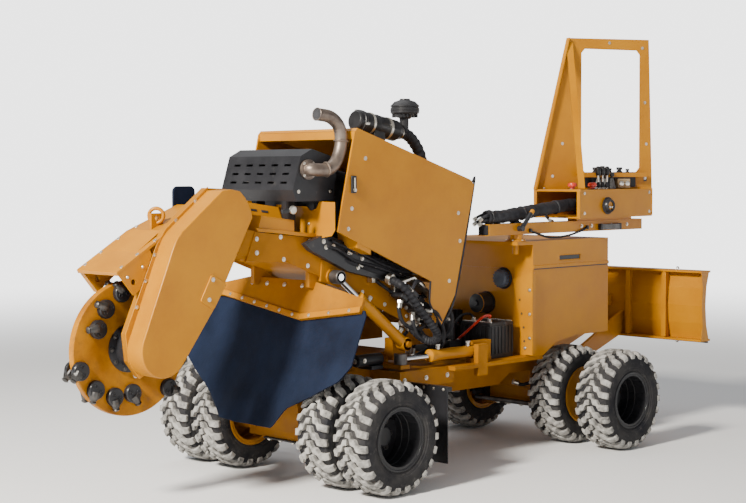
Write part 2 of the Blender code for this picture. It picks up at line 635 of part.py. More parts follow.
def air_cleaner():
    low, high = Vector((0.42, -0.05, 1.915)), Vector((0.765, -0.05, 1.855))
    can = rod(low, high, 0.062, "air_cleaner", BLACK, ROUND)
    saddle = box((0.53, -0.10, hood_z(0.53) + 0.005), (0.61, 0.0, 1.87))
    feet = side([(0.50, hood_z(0.50) + GAP), (0.64, hood_z(0.64) + GAP), (0.64, hood_z(0.64) + 0.03),
                 (0.50, hood_z(0.50) + 0.03)], -0.11, 0.01)
    stem = rod((0.72, -0.052, 1.860), (0.807, -0.052, 1.864), 0.025)
    stem_up = rod((0.81, -0.053, 1.838), (0.81, -0.053, BOWL_Z - GAP), 0.026)
    hose = tube([(0.75, -0.051, 1.852), (0.88, -0.05, 1.81), (0.95, -0.05, 1.72), (0.955, -0.05, 1.62),
                 (0.93, -0.05, 1.52)], 0.032, "intake_hose", RUBBER)
    return union(can, saddle, feet, stem, hose, stem_up)


def precleaner():
    return move(turned([(0, 0.115), (0.03, 0.115), (0.05, 0.10), (0.082, 0.085), (0.082, 0.03), (0.055, 0.0),
                        (0, 0.0)], "precleaner", PLASTIC,
                        "Z"), Matrix.Translation((0.82, -0.05, BOWL_Z)))


engine()
hood()
muffler_guard()
exhaust()
air_cleaner()
precleaner()

# Chip curtain: a bracket under the boom and a rubber sheet that hangs from it in front of the tyres.
CURTAIN_X = -0.10
CURTAIN_Z = 0.854
CURTAIN_T = 0.012


def sloping(outline, low, high, name="sloping", look=None):
    """A (y, z) outline laid on the curtain's plane, from low to high in front of it."""
    lay = [(y, (z - CURTAIN_Z) / cos(CURTAIN_TILT)) for y, z in outline]
    made = plate(lay, (high - low) / 2, name, look)
    across = Matrix(((0, 0, 1, 0), (1, 0, 0, 0), (0, 1, 0, 0), (0, 0, 0, 1)))
    place = Matrix.Translation((CURTAIN_X, 0, CURTAIN_Z)) @ Matrix.Rotation(CURTAIN_TILT, 4, "Y")
    return move(made, place @ Matrix.Translation((-(low + high) / 2, 0, 0)) @ across)


def curtain():
    w = CURTAIN_HALF
    sloping([(-w + 0.02, 0.93), (-w, 0.90), (-w, 0.66), (-w + 0.06, 0.58), (-0.45, 0.50), (-0.28, 0.42),
             (-0.21, 0.32), (0.08, 0.32), (0.21, 0.33), (0.34, 0.44), (0.63, 0.61), (w, 0.66), (w, 0.92),
             (w - 0.15, 0.95), (-0.20, 0.87)], 0.0, CURTAIN_T, "chip_curtain", RUBBER)
    bar = sloping([(-w + 0.03, 0.91), (-0.195, 0.85), (0.46, 0.94), (w - 0.05, 0.94), (w - 0.05, 0.99),
                   (0.30, 1.05), (-0.20, 1.05), (-w + 0.03, 0.98)],
                  CURTAIN_T + GAP, CURTAIN_T + 0.018, "curtain_frame", YELLOW)
    tabs = [side([(-0.09, 1.03), (0.03, 1.0), (0.03, 1.078), (-0.03, 1.1046), (-0.09, 1.125)],
                 s * 0.22 - 0.0145, s * 0.22 + 0.0145) for s in (-1, 1)]
    return union(bar, *tabs)


curtain()

# Rear body: enclosure, lid, floor equipment.
EX0 = XR - 0.422
EX1 = XR + 0.302


def enclosure():
    shell = side([(EX0, FLOOR_TOP + GAP), (EX0 + 0.10, FLOOR_TOP + GAP), (EX0 + 0.22, 0.62),
                  (EX1 - 0.32, 0.648), (EX1, 0.648),
                  (EX1, LID_SEAM - GAP), (EX0, LID_SEAM - GAP)], -ENCLOSURE_HALF, ENCLOSURE_HALF,
                 "enclosure_body", YELLOW)
    hollow = side([(EX0 + 0.012, 0.562), (EX0 + 0.094, 0.562), (EX0 + 0.214, 0.632), (EX1 - 0.32, 0.66),
                   (EX1 - 0.012, 0.66), (EX1 - 0.012, 1.2), (EX0 + 0.012, 1.2)],
                  -ENCLOSURE_HALF + 0.012, ENCLOSURE_HALF - 0.012)
    flange = plate([(-0.466, 0.56), (-0.403, 0.56), (-0.318, 1.0), (-0.466, 1.05)], 0.005)
    flange = move(flange, Matrix(((0, 0, 1, EX0 - 0.018), (1, 0, 0, 0), (0, 1, 0, 0), (0, 0, 0, 1))))
    lip = box((EX0 - 0.02, -0.465, 0.57), (EX0 + 0.006, -0.444, 1.04))
    legs = [box((XR - 0.04, s * 0.13 - 0.03, 0.50 + GAP), (XR + 0.04, s * 0.13 + 0.03, 0.652))
            for s in (-1, 1)]
    cap = rod((EX0 + 0.004, -0.23, 1.0), (EX0 - 0.045, -0.23, 1.0), 0.045, sides=ROUND)
    strainer = rod((EX0 + 0.004, -0.10, 0.85), (EX0 - 0.10, -0.10, 0.85), 0.06, sides=ROUND)
    return union(cut(shell, hollow), flange, lip, cap, strainer, *legs)


def lid():
    shell = box((EX0 - 0.14, -ENCLOSURE_HALF, LID_SEAM), (EX1, ENCLOSURE_HALF, ENCLOSURE_TOP),
                "enclosure_lid", YELLOW)
    hollow = box((EX0 + 0.012, -ENCLOSURE_HALF + 0.012, LID_SEAM - 0.1),
                 (EX1 - 0.012, ENCLOSURE_HALF - 0.012, ENCLOSURE_TOP - 0.012))
    below = box((EX0 - 0.20, -0.6, LID_SEAM - 0.1), (EX0 - 0.0, 0.6, ENCLOSURE_TOP - 0.02))
    grip = box((EX0 + 0.247, -0.6, 1.105), (EX0 + 0.447, -ENCLOSURE_HALF + 0.02, 1.133))
    stand = rod((ARM_X, ARM_Y, 1.2045), (ARM_X, ARM_Y, 1.2645), 0.045)
    hole = rod((ARM_X, ARM_Y, 1.1), (ARM_X, ARM_Y, 1.3), bore(0.020))
    return cut(union(cut(shell, below, hollow, grip), stand), hole)


enclosure()
lid()
union(box((1.20, -0.36, FLOOR_TOP + GAP), (1.40, -0.14, 0.76), "battery", PLASTIC),
      *[rod((1.25, y, 0.75), (1.25, y, 0.775), 0.011) for y in (-0.31, -0.19)])
union(box((1.20, 0.05, FLOOR_TOP + GAP), (1.42, 0.36, 0.80), "valve_block", BLACK),
      *[rod((1.24 + 0.045 * i, 0.20, 0.79), (1.24 + 0.045 * i, 0.20, 0.84), 0.014) for i in range(4)])

# Control arm, box, guard.
BEAM_LOW = 1.265
BEAM_TOP = 1.33
ARM_PIVOT = (ARM_X, ARM_Y, BEAM_LOW)
BX0 = ARM_X + 0.45
BX1 = BX0 + BOX_LENGTH
BOX_LOW = 1.348
BOX_TOP = BOX_LOW + BOX_H
BOX_FAR = BOX_NEAR + BOX_DEPTH


def control_arm():
    beam = box((ARM_X - 0.28, ARM_Y - 0.04, BEAM_LOW), (ARM_X + ARM_REACH, ARM_Y + 0.04, BEAM_TOP),
               "control_arm", YELLOW)
    pin = rod((ARM_X, ARM_Y, 1.15), (ARM_X, ARM_Y, BEAM_TOP + 0.008), 0.020)
    pad = box((BX0 + 0.08, ARM_Y - 0.035, BEAM_TOP - 0.01), (BX1 - 0.10, ARM_Y + 0.035, BOX_LOW - GAP))
    return pivot(union(beam, pin, pad), ARM_PIVOT)


def control_box():
    shell = box((BX0, BOX_NEAR, BOX_LOW), (BX1, BOX_FAR, BOX_TOP), "control_box", YELLOW)
    hollow = box((BX0 - 0.05, BOX_NEAR + 0.01, BOX_LOW + 0.01), (BX1 - 0.01, BOX_FAR - 0.01, BOX_TOP - 0.01))
    socket = rod((BX0 + 0.27, BOX_NEAR + 0.02, 1.42), (BX0 + 0.27, BOX_NEAR - 0.022, 1.42), 0.036,
                 sides=ROUND)
    bores = [rod((x, y, BOX_TOP - 0.05), (x, y, BOX_TOP + 0.05), 0.0155) for x, y in STOPS]
    slots = [box((x - 0.012, LEVER_Y - 0.035, BOX_TOP - 0.05), (x + 0.012, LEVER_Y + 0.035, BOX_TOP + 0.05))
             for x in LEVERS]
    bearing = [rod((LEVERS[0] - 0.04, LEVER_Y, BOX_TOP - 0.035),
                   (LEVERS[-1] + 0.04, LEVER_Y, BOX_TOP - 0.035),
                   0.007)]
    ends = [box((x - 0.004, LEVER_Y - 0.02, BOX_TOP - 0.05), (x + 0.004, LEVER_Y + 0.02, BOX_TOP - 0.005))
            for x in (LEVERS[0] - 0.035, LEVERS[-1] + 0.035)]
    return pivot(union(cut(shell, hollow, *bores, *slots), socket, *bearing, *ends), ARM_PIVOT)


STOPS = ((BX0 + 0.055, -0.40), (BX0 + 0.20, -0.44))
LEVERS = tuple(BX0 + 0.27 + 0.045 * i for i in range(3))
LEVER_Y = -0.43


def e_stop(name, x, y):
    stem = rod((x, y, BOX_TOP - 0.03), (x, y, BOX_TOP + 0.03), 0.015, name, RED)
    head = rod((x, y, BOX_TOP + 0.012), (x, y, BOX_TOP + 0.038), 0.027, sides=ROUND)
    return pivot(union(stem, head), (x, y, BOX_TOP))


def lever(name, x):
    low = BOX_TOP - 0.035
    stem = rod((x, LEVER_Y, low), (x, LEVER_Y, BOX_TOP + 0.11), 0.007, name, BLACK)
    eye = rod((x - 0.010, LEVER_Y, low), (x + 0.010, LEVER_Y, low), 0.016)
    knob = rod((x, LEVER_Y, BOX_TOP + 0.09), (x, LEVER_Y, BOX_TOP + 0.14), 0.015, end_radius=0.012)
    bore = rod((x - 0.03, LEVER_Y, low), (x + 0.03, LEVER_Y, low), 0.0075)
    return pivot(cut(union(stem, eye, knob), bore), (x, LEVER_Y, low))


def guard_brace():
    """The flat stay from the plate's upper left to the box's near corner."""
    low = Vector((BX0 + 0.035, BOX_NEAR + 0.014, BOX_TOP + 0.006))
    high = Vector((BX0 + 0.24 * cos(GUARD_TURN), BOX_FAR - 0.24 * sin(GUARD_TURN) - 0.012, 2.40))
    way = high - low
    bar = box((-0.02, -0.003, 0), (0.02, 0.003, way.length + 0.02))
    lean = way.to_track_quat("Z", "Y").to_matrix().to_4x4()
    return move(bar, Matrix.Translation(low) @ lean)


def window_guard():
    """A flat plate with one large window, standing on the box and turned from its length."""
    base = BOX_TOP + GAP
    outline = [(-0.004, base), (0.231, 2.447), (0.834, 2.454), (0.863, base)]
    window = [(0.36, 1.62), (0.334, 1.66), (0.334, 2.36), (0.36, 2.388), (0.745, 2.388), (0.77, 2.36),
              (0.77, 1.65), (0.745, 1.62)]
    sheet = side(outline, -0.003, 0.003, "window_guard", YELLOW, [window])
    fold = side([(-0.004, base), (0.231, 2.447), (0.237, 2.447), (0.006, base)], -0.03, 0.0)
    shelf = side([(0.30, 1.612), (0.79, 1.612), (0.79, 1.618), (0.30, 1.618)], -0.05, 0.0)
    foot = side([(0.03, base), (0.76, base), (0.76, base + 0.006), (0.03, base + 0.006)], 0.0, 0.03)
    place = Matrix.Translation((BX0, BOX_FAR + 0.002, 0)) @ Matrix.Rotation(-GUARD_TURN, 4, "Z")
    return pivot(union(move(placed_union(sheet, fold, shelf, foot), place), guard_brace()), ARM_PIVOT)


def placed_union(base, *others):
    """A union whose result is made at once, so that it can still be moved as one mesh."""
    return pivot(union(base, *others), (0, 0, 0))


control_arm()
control_box()
window_guard()
for number, (stop_x, stop_y) in enumerate(STOPS, 1):
    e_stop(f"stop_button_{number}", stop_x, stop_y)
for number, lever_x in enumerate(LEVERS, 1):
    lever(f"control_lever_{number}", lever_x)


SLEEVE_Z = BEAM_TOP + 0.0397
pivot(tube([(ARM_X - 0.26, ARM_Y, SLEEVE_Z), (ARM_X - 0.14, ARM_Y, SLEEVE_Z), (ARM_X + 0.08, ARM_Y, 1.39),
            (ARM_X + 0.30, ARM_Y, 1.41), (ARM_X + 0.47, ARM_Y, 1.425), (ARM_X + 0.60, ARM_Y, 1.43)],
           0.040, "hose_sleeve", RUBBER, 3), ARM_PIVOT)
LOCK = (ARM_X - 0.02, ARM_Y - 0.062, 1.30)
lock = rod((LOCK[0], ARM_Y - 0.04 - GAP, LOCK[2]), (LOCK[0], LOCK[1] - 0.012, LOCK[2]), 0.016,
           "lock_lever", BLACK)
pivot(union(lock, rod((LOCK[0], LOCK[1], LOCK[2]), (LOCK[0] + 0.10, LOCK[1], LOCK[2] + 0.10), 0.009)), LOCK)

# Blade at the rear end: a rib-backed curved plate on two arms, lifted by one cylinder.
BLADE_LOW = 0.56


def blade():
    h = BLADE_H
    face = [(BLADE_X + 0.04, BLADE_LOW), (BLADE_X + 0.01, BLADE_LOW + 0.25 * h), (BLADE_X, BLADE_LOW + 0.5 * h),
            (BLADE_X + 0.01, BLADE_LOW + 0.75 * h), (BLADE_X + 0.04, BLADE_LOW + h)]
    back = [(x + 0.012, z) for x, z in reversed(face)]
    sheet = side(face + back, 0.001 - BLADE_HALF, BLADE_HALF - 0.001, "blade", YELLOW)
    lips = [box((BLADE_X - 0.03, -BLADE_HALF, z), (BLADE_X + 0.075, BLADE_HALF, z + 0.012))
            for z in (BLADE_LOW - 0.002, BLADE_LOW + h - 0.010)]
    ribs = [box((BLADE_X - 0.028, y - 0.006, BLADE_LOW + 0.006), (BLADE_X + 0.02, y + 0.006, BLADE_LOW + h - 0.006))
            for y in (-0.48, -0.20, 0.20, 0.48)]
    px = BLADE_PIVOT[0]
    arms = [side([(px - 0.035, 0.39), (px - 0.015, 0.355), (px + 0.16, 0.36), (BLADE_X - 0.01, 0.57),
                  (BLADE_X + 0.008, 0.72), (px + 0.15, 0.43), (px + 0.08, 0.412), (px - 0.015, 0.412)],
                 s * 0.13 - 0.012, s * 0.13 + 0.012) for s in (-1, 1)]
    tie = box((XR + 0.33, -0.13, 0.40), (XR + 0.38, 0.13, 0.45))
    lug = [box((BLADE_X - 0.075, y - 0.006, 0.75), (BLADE_X + 0.008, y + 0.006, 0.82))
           for y in (-0.045, 0.045)]
    pin = rod((BLADE_PIVOT[0], -0.15, BLADE_PIVOT[2]), (BLADE_PIVOT[0], 0.15, BLADE_PIVOT[2]), 0.0145)
    return pivot(union(sheet, *lips, *ribs, *arms, tie, *lug, pin), BLADE_PIVOT)


blade()

cylinder("blade_cylinder", BLADE_FOOT, BLADE_HEAD, (0, 1, 0), 0.62, 0.036, 0.012, 0.12)



def loop_hose():
    """A hose of one smooth loop beside the boom's foot, both ends on the near side plate."""
    route = [(0.60, -0.2597, 0.93), (0.625, -0.285, 0.935), (0.78, -0.30, 0.935), (0.91, -0.30, 0.86),
             (0.94, -0.30, 0.77), (0.87, -0.30, 0.70), (0.74, -0.30, 0.705), (0.675, -0.285, 0.77),
             (0.66, -0.2597, 0.80)]
    pivot(tube(route, 0.012, "boom_hose", RUBBER, 1), (LIFT_X, 0, LIFT_Z))


loop_hose()

bpy.context.view_layer.update()
drawn = bpy.context.evaluated_depsgraph_get()
spans = [(made.evaluated_get(drawn).matrix_world @ Vector(corner)).x
         for made in PARTS.objects for corner in made.evaluated_get(drawn).bound_box]
MIDDLE_X = (min(spans) + max(spans)) / 2
for laid_out in bpy.data.objects:
    laid_out.location.x -= MIDDLE_X
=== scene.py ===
import bpy
import bmesh
from math import cos, pi, radians, sin, sqrt
from mathutils import Matrix, Vector


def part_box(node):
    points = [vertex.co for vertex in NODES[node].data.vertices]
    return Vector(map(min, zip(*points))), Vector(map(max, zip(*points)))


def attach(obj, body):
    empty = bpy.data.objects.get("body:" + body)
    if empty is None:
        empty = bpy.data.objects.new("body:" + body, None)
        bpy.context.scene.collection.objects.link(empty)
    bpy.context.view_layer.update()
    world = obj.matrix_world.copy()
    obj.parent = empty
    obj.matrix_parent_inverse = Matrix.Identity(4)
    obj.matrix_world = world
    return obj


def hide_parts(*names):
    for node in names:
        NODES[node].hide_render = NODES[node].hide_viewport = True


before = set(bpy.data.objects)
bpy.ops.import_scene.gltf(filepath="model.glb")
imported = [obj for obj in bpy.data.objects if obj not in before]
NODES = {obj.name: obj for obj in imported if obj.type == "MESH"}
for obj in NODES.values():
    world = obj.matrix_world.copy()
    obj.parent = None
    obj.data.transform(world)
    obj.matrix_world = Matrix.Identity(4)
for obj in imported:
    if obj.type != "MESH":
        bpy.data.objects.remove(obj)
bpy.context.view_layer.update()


def middle(node):
    """The middle of a CAD node's box."""
    low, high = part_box(node)
    return (low + high) / 2


# The front axle's middle on the ground: most places below are measured from it.
AXLE = middle("tyre_front_near_outer").x
REAR = middle("tyre_rear_near_outer").x - AXLE
TYRE_R = (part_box("tyre_front_near_outer")[1].z) / 2


def at(x, y, z):
    """A point given from the front axle, in the row frame."""
    return Vector((x + AXLE, y, z))


# Camera, as the photograph saw the machine.
def add_camera():
    """Stands the camera where the photograph was taken from."""
    yaw, pitch, roll = radians(44.79), radians(2.91), radians(-0.21)
    ahead = Vector((sin(yaw) * cos(pitch), cos(yaw) * cos(pitch), -sin(pitch)))
    right = Vector((cos(yaw), -sin(yaw), 0))
    up = right.cross(ahead)
    right, up = right * cos(roll) + up * sin(roll), up * cos(roll) - right * sin(roll)
    camera = bpy.data.objects.new("camera", bpy.data.cameras.new("camera"))
    bpy.context.scene.collection.objects.link(camera)
    place = Matrix((right, up, -ahead)).transposed().to_4x4()
    place.translation = at(-5.532, -6.188, 1.626)
    camera.matrix_world = place
    camera.data.lens = 74.94
    camera.data.sensor_width = 36
    bpy.context.scene.camera = camera


def add_light(name, place, target, size, power, colour=(1, 1, 1)):
    lamp = bpy.data.lights.new(name, "AREA")
    lamp.size = size
    lamp.energy = power
    lamp.color = colour
    holder = bpy.data.objects.new(name, lamp)
    bpy.context.scene.collection.objects.link(holder)
    holder.location = place
    holder.rotation_euler = (Vector(target) - Vector(place)).to_track_quat("-Z", "Y").to_euler()


GLOW = 3.2


def add_stage():
    """Soft studio light, a white backdrop and a pale floor that fades into the backdrop far out."""
    world = bpy.data.worlds.new("studio")
    bpy.context.scene.world = world
    world.use_nodes = True
    tree = world.node_tree
    soft = tree.nodes["Background"]
    soft.inputs[0].default_value = (0.95, 0.97, 1.0, 1)
    soft.inputs[1].default_value = 0.36
    backdrop = tree.nodes.new("ShaderNodeBackground")
    backdrop.inputs[0].default_value = (1, 1, 1, 1)
    backdrop.inputs[1].default_value = GLOW
    ray = tree.nodes.new("ShaderNodeLightPath")
    mix = tree.nodes.new("ShaderNodeMixShader")
    tree.links.new(ray.outputs["Is Camera Ray"], mix.inputs[0])
    tree.links.new(soft.outputs[0], mix.inputs[1])
    tree.links.new(backdrop.outputs[0], mix.inputs[2])
    tree.links.new(mix.outputs[0], tree.nodes["World Output"].inputs[0])
    add_light("key", (-8.6, -1.4, 6.2), (0, 0, 0.9), 1.4, 2350, (1.0, 0.95, 0.86))
    add_light("fill", (2.5, -8.0, 3.0), (0.3, 0, 0.9), 5.0, 12)
    add_light("top", (0.5, 2.5, 7.0), (0, 0, 1.0), 5.0, 130)
    shape = bmesh.new()
    bmesh.ops.create_grid(shape, x_segments=1, y_segments=1, size=40)
    mesh = bpy.data.meshes.new("floor")
    shape.to_mesh(mesh)
    shape.free()
    floor = bpy.data.objects.new("floor", mesh)
    floor.location.z = -0.001
    bpy.context.scene.collection.objects.link(floor)
    pale = bpy.data.materials.new("pale_floor")
    pale.use_nodes = True
    pale.node_tree.nodes["Principled BSDF"].inputs["Base Color"].default_value = (0.93, 0.93, 0.93, 1)
    pale.node_tree.nodes["Principled BSDF"].inputs["Roughness"].default_value = 0.6
    tree = pale.node_tree
    spot = tree.nodes.new("ShaderNodeTexCoord")
    reach = tree.nodes.new("ShaderNodeVectorMath")
    reach.operation = "LENGTH"
    fade = tree.nodes.new("ShaderNodeMapRange")
    fade.interpolation_type = "SMOOTHSTEP"
    fade.inputs["From Min"].default_value = 4.5
    fade.inputs["From Max"].default_value = 15.0
    glow = tree.nodes.new("ShaderNodeEmission")
    glow.inputs["Strength"].default_value = GLOW
    both = tree.nodes.new("ShaderNodeMixShader")
    tree.links.new(spot.outputs["Object"], reach.inputs[0])
    tree.links.new(reach.outputs["Value"], fade.inputs["Value"])
    tree.links.new(fade.outputs["Result"], both.inputs[0])
    tree.links.new(tree.nodes["Principled BSDF"].outputs[0], both.inputs[1])
    tree.links.new(glow.outputs[0], both.inputs[2])
    tree.links.new(both.outputs[0], tree.nodes["Material Output"].inputs[0])
    mesh.materials.append(pale)


add_camera()
add_stage()


# Materials.
def link(tree, out, into):
    tree.links.new(out, into)


def surface(name, colour, dark, rough, metal=0.0, scale=6.0, grain=60.0, bump=0.05, dust=None,
    dust_share=0.3, coat=0.0, spread=0.12):
    """A finish mottled between two colours, with a fine bump, uneven gloss and optional dust in patches."""
    made = bpy.data.materials.new(name)
    made.use_nodes = True
    tree = made.node_tree
    shader = tree.nodes["Principled BSDF"]
    shader.inputs["Metallic"].default_value = metal
    shader.inputs["Coat Weight"].default_value = coat
    shader.inputs["Coat Roughness"].default_value = 0.12
    shader.inputs["Specular IOR Level"].default_value = 0.5 if metal else max(0.06, 0.46 - 0.55 * rough)
    where = tree.nodes.new("ShaderNodeTexCoord")
    broad = tree.nodes.new("ShaderNodeTexNoise")
    broad.inputs["Scale"].default_value = scale
    broad.inputs["Detail"].default_value = 6
    broad.inputs["Roughness"].default_value = 0.62
    fine = tree.nodes.new("ShaderNodeTexNoise")
    fine.inputs["Scale"].default_value = grain
    fine.inputs["Detail"].default_value = 4
    for texture in (broad, fine):
        link(tree, where.outputs["Object"], texture.inputs["Vector"])
    ramp = tree.nodes.new("ShaderNodeValToRGB")
    ramp.color_ramp.elements[0].position = 0.36
    ramp.color_ramp.elements[0].color = (*dark, 1)
    ramp.color_ramp.elements[1].position = 0.62
    ramp.color_ramp.elements[1].color = (*colour, 1)
    link(tree, broad.outputs["Fac"], ramp.inputs["Fac"])
    shade = ramp.outputs["Color"]
    if dust:
        mask = tree.nodes.new("ShaderNodeValToRGB")
        mask.color_ramp.elements[0].position = 1.0 - dust_share - 0.14
        mask.color_ramp.elements[0].color = (0, 0, 0, 1)
        mask.color_ramp.elements[1].position = 1.0 - dust_share + 0.14
        mask.color_ramp.elements[1].color = (0.85, 0.85, 0.85, 1)
        patches = tree.nodes.new("ShaderNodeTexNoise")
        patches.inputs["Scale"].default_value = scale * 2.3
        patches.inputs["Detail"].default_value = 8
        patches.inputs["Roughness"].default_value = 0.7
        link(tree, where.outputs["Object"], patches.inputs["Vector"])
        link(tree, patches.outputs["Fac"], mask.inputs["Fac"])
        mix = tree.nodes.new("ShaderNodeMix")
        mix.data_type = "RGBA"
        link(tree, mask.outputs["Color"], mix.inputs["Factor"])
        link(tree, shade, mix.inputs["A"])
        mix.inputs["B"].default_value = (*dust, 1)
        shade = mix.outputs["Result"]
    link(tree, shade, shader.inputs["Base Color"])
    gloss = tree.nodes.new("ShaderNodeMapRange")
    gloss.inputs["To Min"].default_value = max(rough - spread, 0.04)
    gloss.inputs["To Max"].default_value = min(rough + spread, 1.0)
    link(tree, broad.outputs["Fac"], gloss.inputs["Value"])
    link(tree, gloss.outputs["Result"], shader.inputs["Roughness"])
    relief = tree.nodes.new("ShaderNodeBump")
    relief.inputs["Strength"].default_value = bump
    relief.inputs["Distance"].default_value = 0.004
    link(tree, fine.outputs["Fac"], relief.inputs["Height"])
    link(tree, relief.outputs["Normal"], shader.inputs["Normal"])
    return made


YELLOW = surface("yellow_paint", (0.47, 0.190, 0.0), (0.40, 0.150, 0.0), 0.36, 0, 3.0, 240, 0.03,
    (0.34, 0.14, 0.003), 0.18, 0.04)
DUSTY_YELLOW = surface("dusty_yellow_paint", (0.36, 0.140, 0.001), (0.27, 0.100, 0.001), 0.52, 0, 4.0, 180,
    0.06, (0.22, 0.11, 0.025), 0.30)
DISC_PAINT = surface("scuffed_disc_paint", (0.42, 0.165, 0.001), (0.27, 0.095, 0.002), 0.48, 0, 7.0, 150,
    0.10, (0.15, 0.075, 0.026), 0.34)
BLACK = surface("black_paint", (0.022, 0.022, 0.025), (0.012, 0.012, 0.014), 0.38, 0, 5.0, 200, 0.05,
    (0.10, 0.09, 0.08), 0.25, 0.15)
TYRE = surface("tyre_rubber", (0.050, 0.048, 0.048), (0.022, 0.022, 0.026), 0.80, 0, 9.0, 120, 0.25,
    (0.16, 0.15, 0.14), 0.30)
LUG = surface("tyre_lugs", (0.40, 0.39, 0.37), (0.13, 0.125, 0.12), 0.85, 0, 16.0, 140, 0.30,
    (0.50, 0.48, 0.44), 0.40)
RUBBER = surface("hose_rubber", (0.028, 0.028, 0.032), (0.014, 0.014, 0.017), 0.55, 0, 12.0, 300, 0.12,
    (0.09, 0.085, 0.08), 0.25)
# Painted shade: the mat rubber is black; the navy tint in this base colour, its darker mottle and its dust
# patches is the blue of the rubber in shade, painted on.
NAVY_SHADED_RUBBER = surface("black_rubber_painted_navy_shade", (0.008, 0.014, 0.034), (0.004, 0.007, 0.018), 0.62, 0, 3.5, 90, 0.22,
    (0.024, 0.034, 0.060), 0.18)
STEEL = surface("worn_steel", (0.16, 0.15, 0.145), (0.065, 0.058, 0.055), 0.45, 0.85, 9.0, 160, 0.18,
    (0.10, 0.06, 0.04), 0.28)
TOOTH = surface("tooth_steel", (0.085, 0.082, 0.08), (0.03, 0.028, 0.028), 0.42, 0.7, 20.0, 200, 0.2,
    (0.13, 0.09, 0.06), 0.3)
ZINC = surface("zinc_plate", (0.72, 0.68, 0.60), (0.50, 0.47, 0.42), 0.30, 0.9, 25.0, 300, 0.05)
CHROME = surface("chrome_rod", (0.82, 0.82, 0.83), (0.72, 0.72, 0.74), 0.12, 1.0, 8.0, 400, 0.01,
    spread=0.05)
# Dark cast metal for the engine, radiator, ribs and mesh; on the thin discs, slots and plugs in openings
# this colour is painted shade, the dark inside of the holes.
DARK_METAL_AND_HOLE_SHADE = surface("dark_metal_and_painted_hole_shade", (0.045, 0.045, 0.05), (0.018, 0.018, 0.02), 0.62, 0.3, 10.0, 120, 0.35,
    (0.12, 0.10, 0.08), 0.3)
HOT_STEEL = surface("exhaust_steel", (0.26, 0.205, 0.165), (0.12, 0.092, 0.078), 0.42, 0.75, 9.0, 160, 0.10,
    (0.14, 0.075, 0.045), 0.30)
PLASTIC = surface("moulded_plastic", (0.022, 0.022, 0.024), (0.012, 0.012, 0.013), 0.34, 0, 8.0, 320, 0.10,
    (0.07, 0.07, 0.065), 0.2)
RED = surface("red_button", (0.62, 0.045, 0.02), (0.46, 0.03, 0.015), 0.28, 0, 20.0, 200, 0.03, coat=0.4)
GREY = surface("grey_boot", (0.20, 0.20, 0.20), (0.12, 0.12, 0.12), 0.7, 0, 20.0, 200, 0.15)
CAP_BLUE = surface("filler_cap", (0.075, 0.090, 0.12), (0.045, 0.052, 0.07), 0.4, 0, 14.0, 200, 0.08)
TAN = surface("tan_block", (0.42, 0.30, 0.17), (0.32, 0.22, 0.12), 0.5, 0, 15.0, 200, 0.1)

# Shapes. Each of these gives a function that adds one shape to a bmesh, x from the front axle.
def block(low, high):
    """A box between two corners."""
    def build(shape):
        size = [b - a for a, b in zip(low, high)]
        centre = [(a + b) / 2 for a, b in zip(low, high)]
        bmesh.ops.create_cube(shape, size=1, matrix=Matrix.Translation(centre) @ Matrix.Diagonal((*size, 1)))
    return build


def turned(start, along, profile, sides=32):
    """A turned shape: profile lists (distance along the axis, radius)."""
    def build(shape):
        spin = Vector(along).to_track_quat("Z", "Y")
        rings = []
        for distance, radius in profile:
            count = sides if radius > 1e-6 else 1
            ring = []
            for i in range(count):
                turn = 2 * pi * i / sides
                flat = Vector((radius * cos(turn), radius * sin(turn), distance))
                ring.append(shape.verts.new(Vector(start) + spin @ flat))
            rings.append(ring)
        for a, b in zip(rings, rings[1:]):
            for i in range(sides):
                j = (i + 1) % sides
                corners = [a[i % len(a)], a[j % len(a)], b[j % len(b)], b[i % len(b)]]
                corners = list(dict.fromkeys(corners))
                if len(corners) > 2:
                    shape.faces.new(corners)
        for ring in (rings[0], rings[-1]):
            if len(ring) > 1 and rings[0] is not rings[-1] and profile[0] != profile[-1]:
                shape.faces.new(ring)
    return build


def drum(radius, height):
    """The profile of a plain closed cylinder."""
    return [(0, 0), (0, radius), (height, radius), (height, 0)]


def rod(start, end, radius, end_radius=None, sides=24):
    """A bar or cone between two points."""
    along = Vector(end) - Vector(start)
    return turned(start, along, [(0, radius), (along.length, end_radius or radius)], sides)


def ring(centre, along, radius, thick, sides=40, round_sides=10):
    """A torus about an axis."""
    profile = [(thick * sin(2 * pi * i / round_sides), radius + thick * cos(2 * pi * i / round_sides))
        for i in range(round_sides)]
    return turned(centre, along, [*profile, profile[0]], sides)


def bolt(place, along, size=0.008):
    """A hexagon head on a washer."""
    washer = turned(place, along, [(0, 0), (0, size * 1.5), (size * 0.2, size * 1.5), (size * 0.2, 0)], 20)
    head = turned(place, along, [(0, 0), (0, size), (size * 0.75, size), (size * 0.9, size * 0.8),
          (size * 0.9, 0)], 6)

    def build(shape):
        washer(shape)
        head(shape)
    return build


def side_bolts(face, along, size, spots):
    """Bolts at some (x, z) spots on a plane of one y."""
    return [bolt((x, face, z), along, size) for x, z in spots]


def slab(outline, near, far, facing_front=False):
    """An (x, z) outline between two values of y, or, facing front, a (y, z) one between two of x."""
    def build(shape):
        rows = [[shape.verts.new((level, a, b) if facing_front else (a, level, b)) for a, b in outline]
            for level in (near, far)]
        shape.faces.new(rows[0])
        shape.faces.new(rows[1])
        for i in range(len(outline)):
            j = (i + 1) % len(outline)
            shape.faces.new((rows[0][i], rows[0][j], rows[1][j], rows[1][i]))
    return build


def turned_block(size, place):
    """A block of one size, put in place by a matrix."""
    def build(shape):
        bmesh.ops.create_cube(shape, size=1, matrix=place @ Matrix.Diagonal((*size, 1)))
    return build


def settle(made, body, stands_for):
    """Puts a piece on its body and hides the CAD nodes it stands for."""
    bpy.context.scene.collection.objects.link(made)
    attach(made, body)
    if stands_for:
        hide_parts(*stands_for)
    return made


